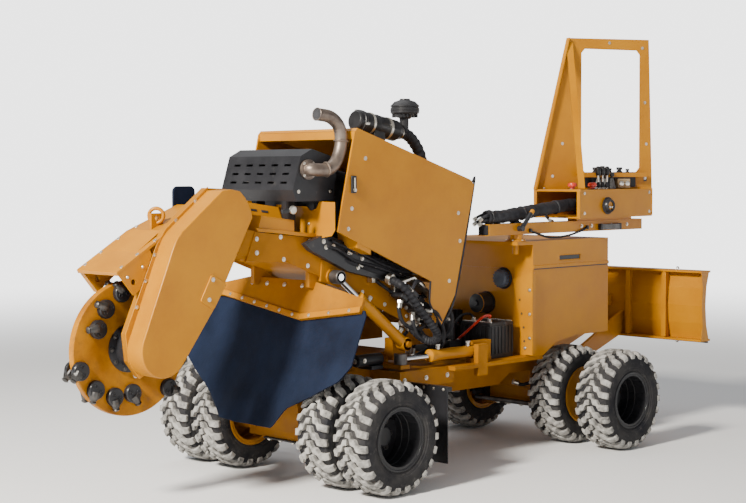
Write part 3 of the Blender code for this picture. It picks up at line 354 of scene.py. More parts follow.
def soften(made, width):
    """Rounds an object's edges."""
    edge = made.modifiers.new("soft edges", "BEVEL")
    edge.width = width
    edge.segments = 2
    edge.limit_method = "ANGLE"
    edge.angle_limit = radians(28)
    return edge


def piece(name, body, look, *shapes, bevel=0.0, sharp=32, stands_for=()):
    """Makes one object from shapes and puts it on its body."""
    shape = bmesh.new()
    for build in shapes:
        build(shape)
    bmesh.ops.recalc_face_normals(shape, faces=shape.faces)
    bmesh.ops.translate(shape, vec=(AXLE, 0, 0), verts=shape.verts)
    mesh = bpy.data.meshes.new(name)
    shape.to_mesh(mesh)
    shape.free()
    mesh.materials.append(look)
    for face in mesh.polygons:
        face.use_smooth = True
    mesh.set_sharp_from_angle(angle=radians(sharp))
    made = bpy.data.objects.new(name, mesh)
    if bevel:
        soften(made, bevel)
    return settle(made, body, stands_for)


def smooth_path(points, steps=8):
    """Points on one smooth curve through the given ones."""
    points = [Vector(p) for p in points]
    ends = [points[0] * 2 - points[1], *points, points[-1] * 2 - points[-2]]
    out = []
    for a, b, c, d in zip(ends, ends[1:], ends[2:], ends[3:]):
        for i in range(steps):
            t = i / steps
            out.append(0.5 * (2 * b + (c - a) * t + (2 * a - 5 * b + 4 * c - d) * t * t
                              + (3 * b - a - 3 * c + d) * t ** 3))
    out.append(points[-1])
    return out


def hose(name, body, look, points, radius, steps=8, taper=None, stands_for=()):
    """A bent tube along a smooth curve; taper gives a radius share along it."""
    path = smooth_path(points, steps)
    line = bpy.data.curves.new(name, "CURVE")
    line.dimensions = "3D"
    line.bevel_depth = radius
    line.bevel_resolution = 4
    line.use_fill_caps = True
    spline = line.splines.new("POLY")
    spline.points.add(len(path) - 1)
    for i, (point, spot) in enumerate(zip(spline.points, path)):
        point.co = (*(spot + Vector((AXLE, 0, 0))), 1)
        point.radius = taper(i / (len(path) - 1)) if taper else 1.0
    spline.use_smooth = True
    line.materials.append(look)
    return settle(bpy.data.objects.new(name, line), body, stands_for)


def fitting(place, toward, radius):
    """A crimped collar and a hexagon nut where a hose ends."""
    place, toward = Vector(place), Vector(toward)
    along = (toward - place).normalized()
    collar = turned(place, along, [(0, 0), (0, radius * 1.35), (radius * 3, radius * 1.35), (radius * 3, 0)])
    nut = turned(place - along * radius, along, [(0, 0), (0, radius * 1.7), (radius * 1.2, radius * 1.7),
          (radius * 1.2, 0)], 6)

    def build(shape):
        collar(shape)
        nut(shape)
    return build


def fitted_hose(name, body, points, radius):
    """A hose with a crimped fitting at each end."""
    hose(name, body, RUBBER, points, radius)
    piece(f"{name}_fittings", body, ZINC, fitting(points[0], points[1], radius),
        fitting(points[-1], points[-2], radius))


def repaint(node, look, bevel=0.003):
    """Keeps a CAD node, with rounded edges and a finish of its own."""
    kept = NODES[node]
    kept.data.materials.clear()
    kept.data.materials.append(look)
    flat = kept.modifiers.new("flat faces", "DECIMATE")
    flat.decimate_type = "DISSOLVE"
    flat.angle_limit = radians(0.4)
    if bevel:
        edge = soften(kept, bevel)
        edge.harden_normals = True
        edge.miter_outer = "MITER_ARC"


# Cords: the one hose that hangs in a free loop, both ends on the boom's side plate.
LOOP = [(0.60, -0.2597, 0.93), (0.625, -0.285, 0.935), (0.78, -0.30, 0.935), (0.91, -0.30, 0.86),
    (0.94, -0.30, 0.77), (0.87, -0.30, 0.70), (0.74, -0.30, 0.705), (0.675, -0.285, 0.77),
    (0.66, -0.2597, 0.80)]
loop = hose("boom_loop_hose", "boom", RUBBER, LOOP, 0.012, 10, stands_for=["boom_hose"])
piece("boom_loop_fittings", "boom", ZINC, fitting(LOOP[0], LOOP[1], 0.012),
    fitting(LOOP[-1], LOOP[-2], 0.012))

KEPT = {"chassis_frame": DUSTY_YELLOW, "turret": DUSTY_YELLOW, "boom_frame": DUSTY_YELLOW,
    "cutter_housing": YELLOW, "hood": YELLOW, "muffler_guard": BLACK, "curtain_frame": DUSTY_YELLOW,
    "enclosure_body": YELLOW, "enclosure_lid": YELLOW, "control_arm": YELLOW, "control_box": YELLOW,
    "window_guard": YELLOW, "blade": YELLOW, "battery": PLASTIC, "valve_block": BLACK, "engine_block": DARK_METAL_AND_HOLE_SHADE,
    "knuckle_near": BLACK, "knuckle_far": BLACK, "tie_rod": STEEL, "upper_pulley": STEEL,
    "lower_pulley": STEEL, "drive_belt": RUBBER, "lift_cylinder_barrel": YELLOW,
    "lift_cylinder_rod": CHROME, "swing_cylinder_barrel": YELLOW, "swing_cylinder_rod": CHROME,
    "blade_cylinder_barrel": YELLOW, "blade_cylinder_rod": CHROME}
THIN = ("window_guard", "hood", "muffler_guard", "curtain_frame", "enclosure_lid")
for kept, finish in KEPT.items():
    repaint(kept, finish, 0.0018 if kept in THIN else 0.003)

NEAR, FAR, FRONT, BACK, UP = (0, -1, 0), (0, 1, 0), (-1, 0, 0), (1, 0, 0), (0, 0, 1)

# Wheels: a ribbed carcass with two staggered rows of hooked lugs, and rims with nuts and hub caps.
LUGS = 23
LUG_PATH = ((-0.006, -0.02, 1.0), (0.020, -0.01, 1.0), (0.034, 0.075, 1.0), (0.058, 0.085, 0.998),
    (0.072, 0.155, 0.992), (0.100, 0.165, 0.957), (0.1115, 0.170, 0.895))
CARCASS = ((0.089, 0.152), (0.099, 0.170), (0.102, 0.178), (0.105, 0.180), (0.107, 0.192), (0.110, 0.194),
    (0.1125, 0.215), (0.1115, 0.240), (0.104, 0.258), (0.085, 0.267), (0.0, 0.270))


def tyre(corner, place):
    """One tyre's carcass and its tread of lugs."""
    node = f"tyre_{corner}_{place}"
    low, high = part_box(node)
    centre = (low + high) / 2 - Vector((AXLE, 0, 0))
    body = f"wheels_{corner}"
    half = [(-y, r) for y, r in CARCASS]
    profile = [*half, *reversed([(y, r) for y, r in CARCASS[:-1]]), half[0]]
    piece(f"carcass_{corner}_{place}", body, TYRE, turned(centre, FAR, profile, 76), stands_for=[node])

    def lugs(shape):
        for side in (-1, 1):
            for i in range(LUGS):
                base = 2 * pi * (i + (0.5 if side > 0 else 0)) / LUGS
                rows = []
                for y, lead, reach in LUG_PATH:
                    top = reach * TYRE_R
                    foot = min(top - 0.012, 0.262) if y < 0.1 else top - 0.02
                    wide = 0.050 + 0.12 * max(y, 0)
                    row = []
                    for turn, radius in ((-wide - 0.012, foot), (-wide, top), (wide, top),
                        (wide + 0.012, foot)):
                        angle = base + lead * 1.3 + turn
                        spread = y + (0.004 if radius == top and y > 0.1 else 0)
                        row.append(shape.verts.new(centre + Vector((radius * cos(angle),
                                side * min(spread, 0.1165), radius * sin(angle)))))
                    rows.append(row)
                for a, b in zip(rows, rows[1:]):
                    for k in range(4):
                        shape.faces.new((a[k], a[(k + 1) % 4], b[(k + 1) % 4], b[k]))
                shape.faces.new(rows[0])
                shape.faces.new(rows[-1])
    piece(f"tread_{corner}_{place}", body, LUG, lugs, bevel=0.003, sharp=40)


def rim(corner, place):
    """One wheel's lips, nuts, hub cap and valve stem."""
    node = f"rim_{corner}_{place}"
    low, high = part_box(f"tyre_{corner}_{place}")
    centre = (low + high) / 2 - Vector((AXLE, 0, 0))
    body = f"wheels_{corner}"
    outward = -1 if "near" in corner else 1
    look = BLACK if place == "outer" else YELLOW
    repaint(node, look, 0.004)
    dish = centre.y + (-outward if place == "outer" else outward) * 0.078
    face = dish + outward * 0.006 if place == "outer" else dish - outward * 0.006
    away = (0, outward, 0) if place == "outer" else (0, -outward, 0)
    hub = Vector((centre.x, face, centre.z))
    nuts = [bolt(hub + Vector((0.095 * cos(2 * pi * i / 8), 0, 0.095 * sin(2 * pi * i / 8))), away, 0.011)
        for i in range(8)]
    lips = [ring((centre.x, centre.y + s * 0.096, centre.z), FAR, 0.161, 0.0075, 64) for s in (-1, 1)]
    steps = [ring((centre.x, centre.y + outward * y, centre.z), FAR, 0.1405, 0.003, 64)
        for y in (0.02, -0.03)]
    piece(f"rim_lips_{corner}_{place}", body, look, *lips, *steps)
    piece(f"rim_nuts_{corner}_{place}", body, STEEL, *nuts)
    if place == "outer":
        cap = [(0.0, 0.066), (0.012, 0.064), (0.018, 0.056), (0.050, 0.052), (0.057, 0.046), (0.057, 0.0)]
        piece(f"hub_cap_{corner}", body, BLACK, turned(hub, away, cap, 40))
        stem = hub + Vector((0.118 * cos(0.7), 0, 0.118 * sin(0.7)))
        piece(f"valve_stem_{corner}", body, RUBBER, rod(stem, stem + Vector(away) * 0.05, 0.006, 0.0045))


for corner in ("front_near", "front_far", "rear_near", "rear_far"):
    for place in ("outer", "inner"):
        tyre(corner, place)
        rim(corner, place)

# Cutter wheel: a dished disc with pockets on both faces in three groups of four.
CUTTER = Vector((-1.074, 0, 0.777))
CUTTER_R = 0.33
face_out = [(-0.004, 0), (-0.004, 0.12), (-0.006, 0.155), (-0.0195, 0.218), (-0.0195, CUTTER_R - 0.004),
    (-0.0155, CUTTER_R)]
disc_profile = [*face_out, *[(-y, r) for y, r in reversed(face_out)]]
hub_profile = [(-0.124, 0), (-0.124, 0.078), (-0.118, 0.086), (-0.02, 0.088), (-0.012, 0.118),
    (0.012, 0.118), (0.02, 0.086), (0.062, 0.084), (0.070, 0.074), (0.070, 0)]
piece("cutter_disc", "cutter", DISC_PAINT, turned(CUTTER, FAR, disc_profile, 96),
    stands_for=["cutter_wheel"])
piece("cutter_hub", "cutter", BLACK, turned(CUTTER, FAR, hub_profile, 48))
hub_bolts = [bolt(CUTTER + Vector((0.103 * cos(a), s * 0.0145, 0.103 * sin(a))), (0, s, 0), 0.009)
    for s in (-1, 1) for a in [2 * pi * i / 10 for i in range(10)]]
piece("cutter_hub_bolts", "cutter", STEEL, *hub_bolts)


def pocket(place, outward, lean, side):
    """A round pocket clamped on one face, its two screws and its tooth."""
    away = Vector((0, side, 0))
    start = place + away * 0.019
    body_shape = turned(start, away, [(0, 0.0), (0, 0.046), (0.020, 0.046), (0.027, 0.041), (0.027, 0.0)],
        28)
    across = outward.cross(away).normalized()
    screws = [turned(start + away * 0.027 + across * s * 0.022 - outward * 0.006, away,
          [(0.002, 0.0), (0.002, 0.006), (0.0, 0.006), (0.0, 0.010), (0.005, 0.010), (0.005, 0.007),
            (0.0, 0.007)], 12) for s in (-1, 1)]
    point = (outward * cos(lean) + across * side * sin(lean)).normalized()
    root = place + away * 0.034 + outward * 0.012
    shank = turned(root, point, [(0, 0.026), (0.020, 0.027), (0.038, 0.019), (0.050, 0.012), (0.052, 0.0)],
        10)
    tip = turned(root + point * 0.042, point, [(0, 0.012), (0.010, 0.0185), (0.016, 0.011), (0.018, 0.0)],
        10)
    return body_shape, screws, shank, tip


pocket_shapes = []
tooth_shapes = []
for group in range(3):
    for step, share in enumerate((0.97, 0.88, 0.79, 0.70)):
        turn = radians(196 + 120 * group + 25 * step)
        outward = Vector((cos(turn), 0, sin(turn)))
        spot = CUTTER + outward * (share * CUTTER_R - 0.012)
        for side in (-1, 1):
            shell, screws, shank, tip = pocket(spot, outward, radians(35), side)
            pocket_shapes += [shell, *screws]
            tooth_shapes += [shank, tip]
piece("cutter_pockets", "cutter", BLACK, *pocket_shapes, bevel=0.0015)
piece("cutter_teeth", "cutter", TOOTH, *tooth_shapes)

# Belt cover: a welded shell with a round lower end, a door low on its rear edge and a bolted flange.
COVER_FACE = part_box("belt_cover")[0].y + 0.008
COVER_FOOT = Vector((-1.066, 0, 0.785))
COVER_ROUND = 0.133
foot_arc = [(COVER_FOOT.x + COVER_ROUND * cos(radians(a)), COVER_FOOT.z + COVER_ROUND * sin(radians(a)))
    for a in range(158, 334, 8)]
cover_line = [(-0.706, 1.541), (-0.956, 1.347), (-0.985, 1.313), (-1.006, 1.274), *foot_arc,
    (-0.755, 0.975), (-0.514, 1.404), (-0.524, 1.446), (-0.560, 1.505), (-0.593, 1.536), (-0.650, 1.546)]
piece("belt_cover_shell", "boom", YELLOW, slab(cover_line, COVER_FACE, -0.1654), bevel=0.004,
    stands_for=["belt_cover"])
door = [(-0.773, 1.131), (-0.700, 1.090), (-0.694, 1.078), (-0.766, 0.968), (-0.778, 0.965),
    (-0.846, 1.004), (-0.849, 1.014), (-0.785, 1.128)]
piece("belt_cover_door", "boom", YELLOW, slab(door, COVER_FACE - 0.0075, COVER_FACE + 0.002), bevel=0.002)
piece("belt_cover_bolts", "boom", ZINC, *side_bolts(COVER_FACE - 0.0076, NEAR, 0.0075,
      ((-0.775, 1.108), (-0.800, 1.012))))
flange = [(-0.700, 1.560), (-0.962, 1.360), (-1.020, 1.280), (-1.206, 0.867), (-1.190, 0.727),
    (-1.127, 0.645), (-1.094, 0.660), (-1.163, 0.738), (-1.178, 0.862), (-0.995, 1.268), (-0.947, 1.338),
    (-0.700, 1.534)]
piece("belt_cover_flange", "boom", YELLOW, slab(flange, -0.166, -0.160), bevel=0.0015)
flange_bolts = [(-0.78, 1.488), (-0.90, 1.397), (-1.03, 1.235), (-1.085, 1.112), (-1.140, 0.990),
    (-1.185, 0.80)]
piece("belt_cover_flange_bolts", "boom", ZINC, *side_bolts(-0.166, NEAR, 0.0075, flange_bolts))
piece("drive_arm_bolts", "boom", ZINC, *side_bolts(-0.1245, FAR, 0.010,
      ((-1.12, 0.90), (-1.03, 0.90), (-1.12, 0.66), (-1.00, 0.68))))
piece("lower_bearing", "boom", BLACK, turned((CUTTER.x, -0.1245, CUTTER.z), FAR,
      [(0, 0.105), (0.004, 0.105), (0.004, 0.092), (0.0, 0.092)], 40))

# The cutter housing: carriage bolts, a front lip, a hinge pin, an eye, a top plate and a rubber mat.
HOUSE_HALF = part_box("cutter_housing")[1].y
top_line = [(-1.245, 1.157), (-1.133, 1.226), (-0.952, 1.337), (-0.64, 1.461)]


def along_line(line, share):
    """The point at that share of a line of (x, z) points, and the line's direction there."""
    lengths = [sqrt((b[0] - a[0]) ** 2 + (b[1] - a[1]) ** 2) for a, b in zip(line, line[1:])]
    left = share * sum(lengths)
    for (a, b), length in zip(zip(line, line[1:]), lengths):
        if left <= length or b == line[-1]:
            t = left / length
            point = (a[0] + (b[0] - a[0]) * t, a[1] + (b[1] - a[1]) * t)
            return point, ((b[0] - a[0]) / length, (b[1] - a[1]) / length)
        left -= length


carriage = []
for share in (0.06, 0.22, 0.40, 0.58, 0.76):
    (x, z), (dx, dz) = along_line(top_line, share)
    for y in (-HOUSE_HALF + 0.016, HOUSE_HALF - 0.016):
        carriage.append(turned((x - dz * 0.005, y, z + dx * 0.005), (-dz, 0, dx),
              [(0, 0.011), (0.004, 0.009), (0.006, 0.004), (0.0065, 0)], 16))
piece("housing_carriage_bolts", "boom", ZINC, *carriage)
piece("housing_front_lip", "boom", YELLOW, slab([(-1.254, 1.160), (-1.240, 1.168), (-1.232, 1.150),
        (-1.246, 1.143)], -HOUSE_HALF, HOUSE_HALF), bevel=0.002)
hole_x, hole_z = -1.155, 1.11
piece("housing_hinge_pin", "boom", ZINC, rod((hole_x, HOUSE_HALF - 0.020, hole_z),
      (hole_x, HOUSE_HALF + 0.014, hole_z), 0.0125),
    turned((hole_x, HOUSE_HALF + 0.014, hole_z), FAR, [(0, 0.018), (0.005, 0.018), (0.006, 0.0)], 20))
piece("housing_eye_ring", "boom", YELLOW, ring((-0.895, 0, 1.418), (1, 0.9, 0), 0.036, 0.0095, 36, 12))
piece("housing_top_plate", "boom", YELLOW, slab([(-1.100, 1.2500), (-0.960, 1.3460), (-0.962, 1.3500),
        (-1.102, 1.2540)], -0.125, 0.12), bevel=0.0015)
seam = [turned((x, y, z), (0, y, 0), [(0, 0.008), (0.003, 0.006), (0.0035, 0)], 14)
    for y in (-HOUSE_HALF - 0.0002, HOUSE_HALF - 0.0005) for x, z in ((-1.19, 1.135), (-1.10, 1.18))]
piece("housing_side_rivets", "boom", ZINC, *seam)


def flap_outline(low, high, y0, y1):
    """A flat mat with rounded upper corners."""
    radius, steps = 0.03, 7
    (x0, z0), (x1, z1) = low, high
    points = [(x0, z0), (x1, z0)]
    for corner, start in (((x1 - radius, z1 - radius), 0), ((x0 + radius, z1 - radius), pi / 2)):
        points += [(corner[0] + radius * cos(start + pi / 2 * i / steps),
              corner[1] + radius * sin(start + pi / 2 * i / steps)) for i in range(steps + 1)]
    return slab(points, y0, y1)


# The side mat takes the same black rubber with its navy tint of painted shade.
piece("side_mat", "boom", NAVY_SHADED_RUBBER, flap_outline((-0.66, 1.375), (-0.52, 1.56), 0.166, 0.180), bevel=0.002,
    stands_for=["side_flap"])
piece("side_mat_clamp", "boom", BLACK, block((-0.655, 0.1802, 1.385), (-0.525, 0.186, 1.415)), bevel=0.0015)
piece("side_mat_bolts", "boom", ZINC, *[bolt((x, 0.186, 1.40), FAR, 0.007) for x in (-0.63, -0.55)])

# Boom: a panel, bolts and pin caps on its sides, and two clamped hoses.
BOOM_FACE = -0.2505
piece("boom_panel", "boom", YELLOW, slab([(-0.455, 1.335), (-0.21, 1.305), (0.03, 1.278), (0.03, 1.30),
        (-0.47, 1.352)], BOOM_FACE - 0.007, BOOM_FACE - 0.0002), bevel=0.002)
piece("boom_side_bolts", "boom", ZINC, *side_bolts(BOOM_FACE, NEAR, 0.008,
      ((-0.46, 1.295), (-0.46, 1.225), (-0.30, 1.30), (-0.10, 1.275), (-0.115, 1.145), (-0.28, 1.185),
        (0.28, 0.985), (0.45, 0.910), (0.62, 0.835))),
    *side_bolts(-BOOM_FACE, FAR, 0.008, ((-0.46, 1.295), (-0.46, 1.225), (-0.30, 1.30), (-0.10, 1.275),
        (0.28, 0.985), (0.45, 0.910))))
pins = []
for s in (-1, 1):
    pins += [turned((0.05, s * 0.2505, 1.08), (0, s, 0),
          [(0, 0.040), (0.010, 0.040), (0.014, 0.034), (0.014, 0.022), (0.020, 0.020), (0.020, 0)], 32),
        turned((0.78, s * 0.2505, 0.80), (0, s, 0), [(0, 0.048), (0.012, 0.048), (0.016, 0.042),
            (0.016, 0.026), (0.024, 0.024), (0.024, 0)], 32)]
piece("boom_pin_caps", "boom", BLACK, *pins)
piece("boom_nose_bolts", "boom", ZINC, *[bolt((-0.4705 - 0.0005, y, z), FRONT, 0.010) for y in (-0.10, 0.10)
      for z in (1.23, 1.29)])
fitted_hose("boom_side_hose_1", "boom", [(0.16, -0.262, 1.145), (0.26, -0.272, 1.10), (0.40, -0.275, 1.02),
      (0.52, -0.268, 0.955), (0.62, -0.262, 0.90)], 0.0095)
fitted_hose("boom_side_hose_2", "boom", [(0.14, -0.262, 1.185), (0.25, -0.276, 1.15), (0.38, -0.282, 1.08),
      (0.55, -0.276, 0.99), (0.66, -0.264, 0.935)], 0.0095)
piece("boom_hose_clamps", "boom", ZINC, *[block((x - 0.012, -0.288, z - 0.035),
        (x + 0.012, -0.2506, z + 0.045)) for x, z in ((0.33, 1.07), (0.50, 0.985))], bevel=0.002)

# The black rail under the hood's edge, with fittings; a front plate and a slotted box under the muffler.
rail = [(-0.175, 1.262), (-0.050, 1.303), (0.003, 1.300), (0.30, 1.186), (0.46, 1.135), (0.63, 1.075),
    (0.56, 1.040), (0.41, 1.040), (0.13, 1.105), (-0.135, 1.225)]
piece("side_rail", "boom", BLACK, slab(rail, -0.300, -0.262), bevel=0.003)
piece("side_rail_standoffs", "boom", BLACK, *[rod((x, -0.265, z), (x, -0.249, z), 0.012)
      for x, z in ((-0.08, 1.255), (0.20, 1.155), (0.50, 1.075))])
fits = [(-0.047, 1.270), (-0.030, 1.240), (0.022, 1.242), (0.134, 1.205), (0.231, 1.171), (0.201, 1.124),
    (0.330, 1.120), (0.430, 1.090), (0.52, 1.065)]
piece("side_rail_fittings", "boom", ZINC, *side_bolts(-0.3002, NEAR, 0.0085, fits),
    *[rod((x, -0.309, z), (x + 0.030, -0.309, z - 0.012), 0.006, sides=14)
      for x, z in ((0.115, 1.212), (0.195, 1.140), (0.36, 1.115))])
hose("side_rail_line_1", "boom", RUBBER, [(-0.03, -0.312, 1.245), (0.05, -0.318, 1.222),
      (0.16, -0.316, 1.165), (0.30, -0.318, 1.130), (0.45, -0.314, 1.085), (0.56, -0.306, 1.05)], 0.008)
hose("side_rail_line_2", "boom", RUBBER, [(0.0, -0.310, 1.275), (0.10, -0.315, 1.235),
      (0.24, -0.318, 1.185), (0.40, -0.316, 1.125), (0.58, -0.306, 1.075)], 0.007)
front_plate = [(0.060, 1.290), (-0.134, 1.262), (-0.372, 1.300), (-0.397, 1.330), (-0.397, 1.475),
    (-0.280, 1.478), (-0.255, 1.440), (-0.215, 1.428), (-0.180, 1.450), (0.060, 1.458)]
piece("front_plate", "boom", YELLOW, slab(front_plate, -0.0590, -0.0545, facing_front=True), bevel=0.0015)
piece("front_plate_bolt", "boom", ZINC, bolt((-0.0592, -0.20, 1.36), FRONT, 0.006))
BOX_LEAN = Matrix.Rotation(radians(7.5), 4, "Y") @ Matrix.Rotation(radians(-32), 4, "X")
piece("muffler_box", "boom", YELLOW, slab([(-0.455, 1.332), (-0.205, 1.306), (-0.205, 1.378),
        (-0.43, 1.408)], -0.2495, -0.2445), slab([(-0.430, 1.408), (-0.205, 1.378), (-0.205, 1.383),
        (-0.43, 1.413)], -0.2495, -0.16), slab([(-0.455, 1.332), (-0.450, 1.332), (-0.425, 1.410),
        (-0.43, 1.410)], -0.2495, 0.20), turned_block((0.235, 0.004, 0.075),
      Matrix.Translation((-0.318, -0.135, 1.432)) @ BOX_LEAN), bevel=0.0015)
# Painted shade: thin dark blocks stand for the dark inside of the box top's open slots.
piece("muffler_box_slot_shade", "boom", DARK_METAL_AND_HOLE_SHADE, *[turned_block((0.045, 0.0055, 0.014),
        Matrix.Translation((x, -0.139, z)) @ BOX_LEAN) for x, z in ((-0.385, 1.436), (-0.310, 1.427))])
piece("muffler_box_latch", "boom", BLACK, turned_block((0.085, 0.014, 0.022),
      Matrix.Translation((-0.262, -0.262, 1.432)) @ Matrix.Rotation(radians(-8), 4, "Y")), bevel=0.004)
piece("muffler_box_latch_head", "boom", ZINC, turned((-0.235, -0.269, 1.437), NEAR,
      [(0, 0), (0, 0.022), (0.010, 0.022), (0.014, 0.016), (0.014, 0)], 28))
# The valve on the boom's side: a block of slices in a bracket, relief caps and hoses around it.
piece("side_valve_bracket", "boom", ZINC, slab([(0.44, 1.035), (0.56, 1.060), (0.76, 0.925), (0.755, 0.915),
        (0.558, 1.048), (0.45, 1.024)], -0.372, -0.262), bevel=0.001)
slices = []
for i in range(4):
    place = Matrix.Translation((0.52 + 0.048 * i, -0.315, 0.975 - 0.036 * i)) @ Matrix.Rotation(
        radians(36.5), 4, "Y")
    slices.append(turned_block((0.052, 0.085, 0.088), place))
piece("side_valve", "boom", BLACK, *slices, bevel=0.004)
piece("side_valve_caps", "boom", ZINC, *[turned((0.515 + 0.048 * i, -0.3575, 0.975 - 0.036 * i), NEAR,
        [(0, 0), (0, 0.014), (0.012, 0.014), (0.012, 0.009), (0.026, 0.008), (0.026, 0)], 6)
      for i in range(4)], *[turned((0.492 + 0.048 * i, -0.33, 0.932 - 0.036 * i), (-0.6, 0, -0.8),
        drum(0.011, 0.016), 6) for i in range(4)])
fitted_hose("side_valve_hose_1", "boom", [(0.484, -0.333, 0.921), (0.470, -0.340, 0.880),
      (0.495, -0.345, 0.815), (0.570, -0.345, 0.775), (0.660, -0.335, 0.775), (0.700, -0.300, 0.795),
      (0.705, -0.252, 0.805)], 0.0105)
fitted_hose("side_valve_hose_2", "boom", [(0.580, -0.333, 0.849), (0.572, -0.350, 0.800),
      (0.600, -0.362, 0.730), (0.690, -0.366, 0.690), (0.780, -0.352, 0.705), (0.800, -0.300, 0.760),
      (0.790, -0.252, 0.790)], 0.0105)
fitted_hose("upper_valve_hose_1", "boom", [(0.500, -0.384, 0.975), (0.512, -0.402, 1.000),
      (0.560, -0.385, 1.035), (0.640, -0.345, 1.020), (0.720, -0.300, 0.975), (0.760, -0.252, 0.930)], 0.010)
fitted_hose("upper_valve_hose_2", "boom", [(0.645, -0.384, 0.866), (0.665, -0.405, 0.870),
      (0.720, -0.398, 0.840), (0.790, -0.375, 0.740), (0.800, -0.345, 0.660), (0.745, -0.300, 0.665),
      (0.700, -0.252, 0.740)], 0.010)
RIBS = 34


def ribbed(share):
    """The radius of a spiral-wrapped hose, as a share of its size, along its length."""
    return 1 + 0.09 * sin(2 * pi * RIBS * share)


hose("wrapped_hose", "boom", RUBBER, [(0.405, -0.330, 1.055), (0.425, -0.405, 1.020),
      (0.488, -0.420, 0.952), (0.566, -0.420, 0.871), (0.640, -0.420, 0.798), (0.686, -0.418, 0.750),
      (0.702, -0.405, 0.716), (0.680, -0.385, 0.700), (0.646, -0.355, 0.712), (0.632, -0.310, 0.745),
      (0.640, -0.255, 0.780)], 0.022, 24, ribbed)
COLLAR = [(0, 0), (0, 0.031), (0.026, 0.031), (0.028, 0.027), (0.028, 0)]
piece("wrapped_hose_collars", "boom", ZINC, turned((0.405, -0.322, 1.059), (0.2, -0.9, -0.35), COLLAR, 28),
    turned((0.640, -0.2502, 0.778), (-0.1, -1, -0.2), COLLAR, 28))
piece("swing_damper", "turret", BLACK, turned((0.205, -0.270, 0.6195), BACK,
      [(0, 0), (0, 0.029), (0.004, 0.033), (0.186, 0.033), (0.190, 0.029), (0.190, 0)], 32))
piece("swing_damper_seat", "turret", BLACK, block((0.300, -0.300, 0.567), (0.390, -0.195, 0.588)),
    bevel=0.002)
piece("swing_damper_bolt", "turret", ZINC, bolt((0.2048, -0.270, 0.6195), FRONT, 0.010),
    bolt((0.245, -0.3028, 0.622), NEAR, 0.008))

# Hood: bolts on both sides, rubber edge trim, a top seam, hinges and latches.
HOOD_LOW, HOOD_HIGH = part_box("hood")
HOOD_NEAR, HOOD_FAR = HOOD_LOW.y, HOOD_HIGH.y
hood_places = [(0.035, 1.335), (0.06, 1.44), (0.882, 1.40), (0.895, 1.244), (0.807, 1.026), (0.16, 1.70)]
piece("hood_bolts", "boom", ZINC, *side_bolts(HOOD_NEAR - 0.0002, NEAR, 0.0075, hood_places),
    *side_bolts(HOOD_FAR + 0.0002, FAR, 0.0075, hood_places))
trim = [(1.004, 1.572), (1.016, 1.548), (0.862, 0.944), (0.748, 0.780)]


def edge_trim(name, body, line, y0, y1, thick=0.006):
    """A rubber moulding pushed over a plate's edge."""
    for number, y in enumerate((y0, y1)):
        hose(f"{name}_{number}", body, RUBBER, [(x, y, z) for x, z in line], thick, 6)


edge_trim("hood_rear_trim", "boom", trim, HOOD_NEAR + 0.004, HOOD_FAR - 0.004)
edge_trim("hood_low_trim", "boom", [(0.742, 0.785), (0.690, 0.858), (0.654, 0.913), (0.655, 0.97),
      (0.66, 1.032)], HOOD_NEAR + 0.004, HOOD_FAR - 0.004, 0.0055)
piece("hood_top_seam", "boom", BLACK, slab([(0.30, 1.7935), (0.305, 1.7935), (0.305, 1.7960),
        (0.30, 1.7975)], HOOD_NEAR + 0.01, HOOD_FAR - 0.01))
tilt = -0.309
for number, y in enumerate((-0.28, 0.25)):
    spot = Vector((0.96, y, 1.5925))
    place = Matrix.Translation(spot + Vector((0, 0, 0.006))) @ Matrix.Rotation(-tilt, 4, "Y")
    piece(f"hood_hinge_{number}", "boom", BLACK, turned_block((0.07, 0.05, 0.005), place), bevel=0.0015)
    piece(f"hood_hinge_pin_{number}", "boom", ZINC,
        rod(spot + Vector((0.035, -0.03, -0.004)), spot + Vector((0.035, 0.03, -0.004)), 0.0075))
for number, (y, away) in enumerate(((HOOD_NEAR, -1), (HOOD_FAR, 1))):
    piece(f"hood_latch_{number}", "boom", BLACK, block((0.052, min(y, y + away * 0.010), 1.52),
          (0.088, max(y, y + away * 0.010), 1.61)), bevel=0.003)
    piece(f"hood_latch_hook_{number}", "boom", ZINC,
        rod((0.07, y + away * 0.009, 1.535), (0.07, y + away * 0.020, 1.535), 0.009),
        rod((0.07, y + away * 0.014, 1.54), (0.07, y + away * 0.014, 1.60), 0.0035))

# The hood's sloping rear face carries a framed grille of louvres.
GRILLE_LOW, GRILLE_HIGH = Vector((0.8797, -0.015, 1.043)), Vector((0.9767, -0.015, 1.413))
rear_out = Vector((0.967, 0, -0.254))
GRILLE_LEAN = radians(14.7)
GRILLE_WIDE = HOOD_FAR - HOOD_NEAR - 0.20
middle_face = (GRILLE_LOW + GRILLE_HIGH) / 2
lean = Matrix.Rotation(GRILLE_LEAN, 4, "Y")
piece("rear_grille_mesh", "boom", DARK_METAL_AND_HOLE_SHADE, turned_block((0.003, GRILLE_WIDE, 0.42),
      Matrix.Translation(middle_face + rear_out * 0.0018) @ lean))
slats = []
for i in range(13):
    spot = GRILLE_LOW + (GRILLE_HIGH - GRILLE_LOW) * i / 12 + rear_out * 0.009
    place = Matrix.Translation(spot) @ Matrix.Rotation(GRILLE_LEAN + radians(38), 4, "Y")
    slats.append(turned_block((0.018, GRILLE_WIDE - 0.02, 0.003), place))
piece("rear_grille_louvres", "boom", BLACK, *slats, bevel=0.0008)
rails = [turned_block((0.016, GRILLE_WIDE + 0.03, 0.022),
      Matrix.Translation(spot + rear_out * 0.008 + Vector((0, 0, s * 0.026))) @ lean)
    for spot, s in ((GRILLE_LOW, -1), (GRILLE_HIGH, 1))]
rails += [turned_block((0.016, 0.022, 0.44), Matrix.Translation(middle_face + rear_out * 0.008 + Vector((0,
        s * (GRILLE_WIDE / 2 + 0.005), 0))) @ lean) for s in (-1, 1)]
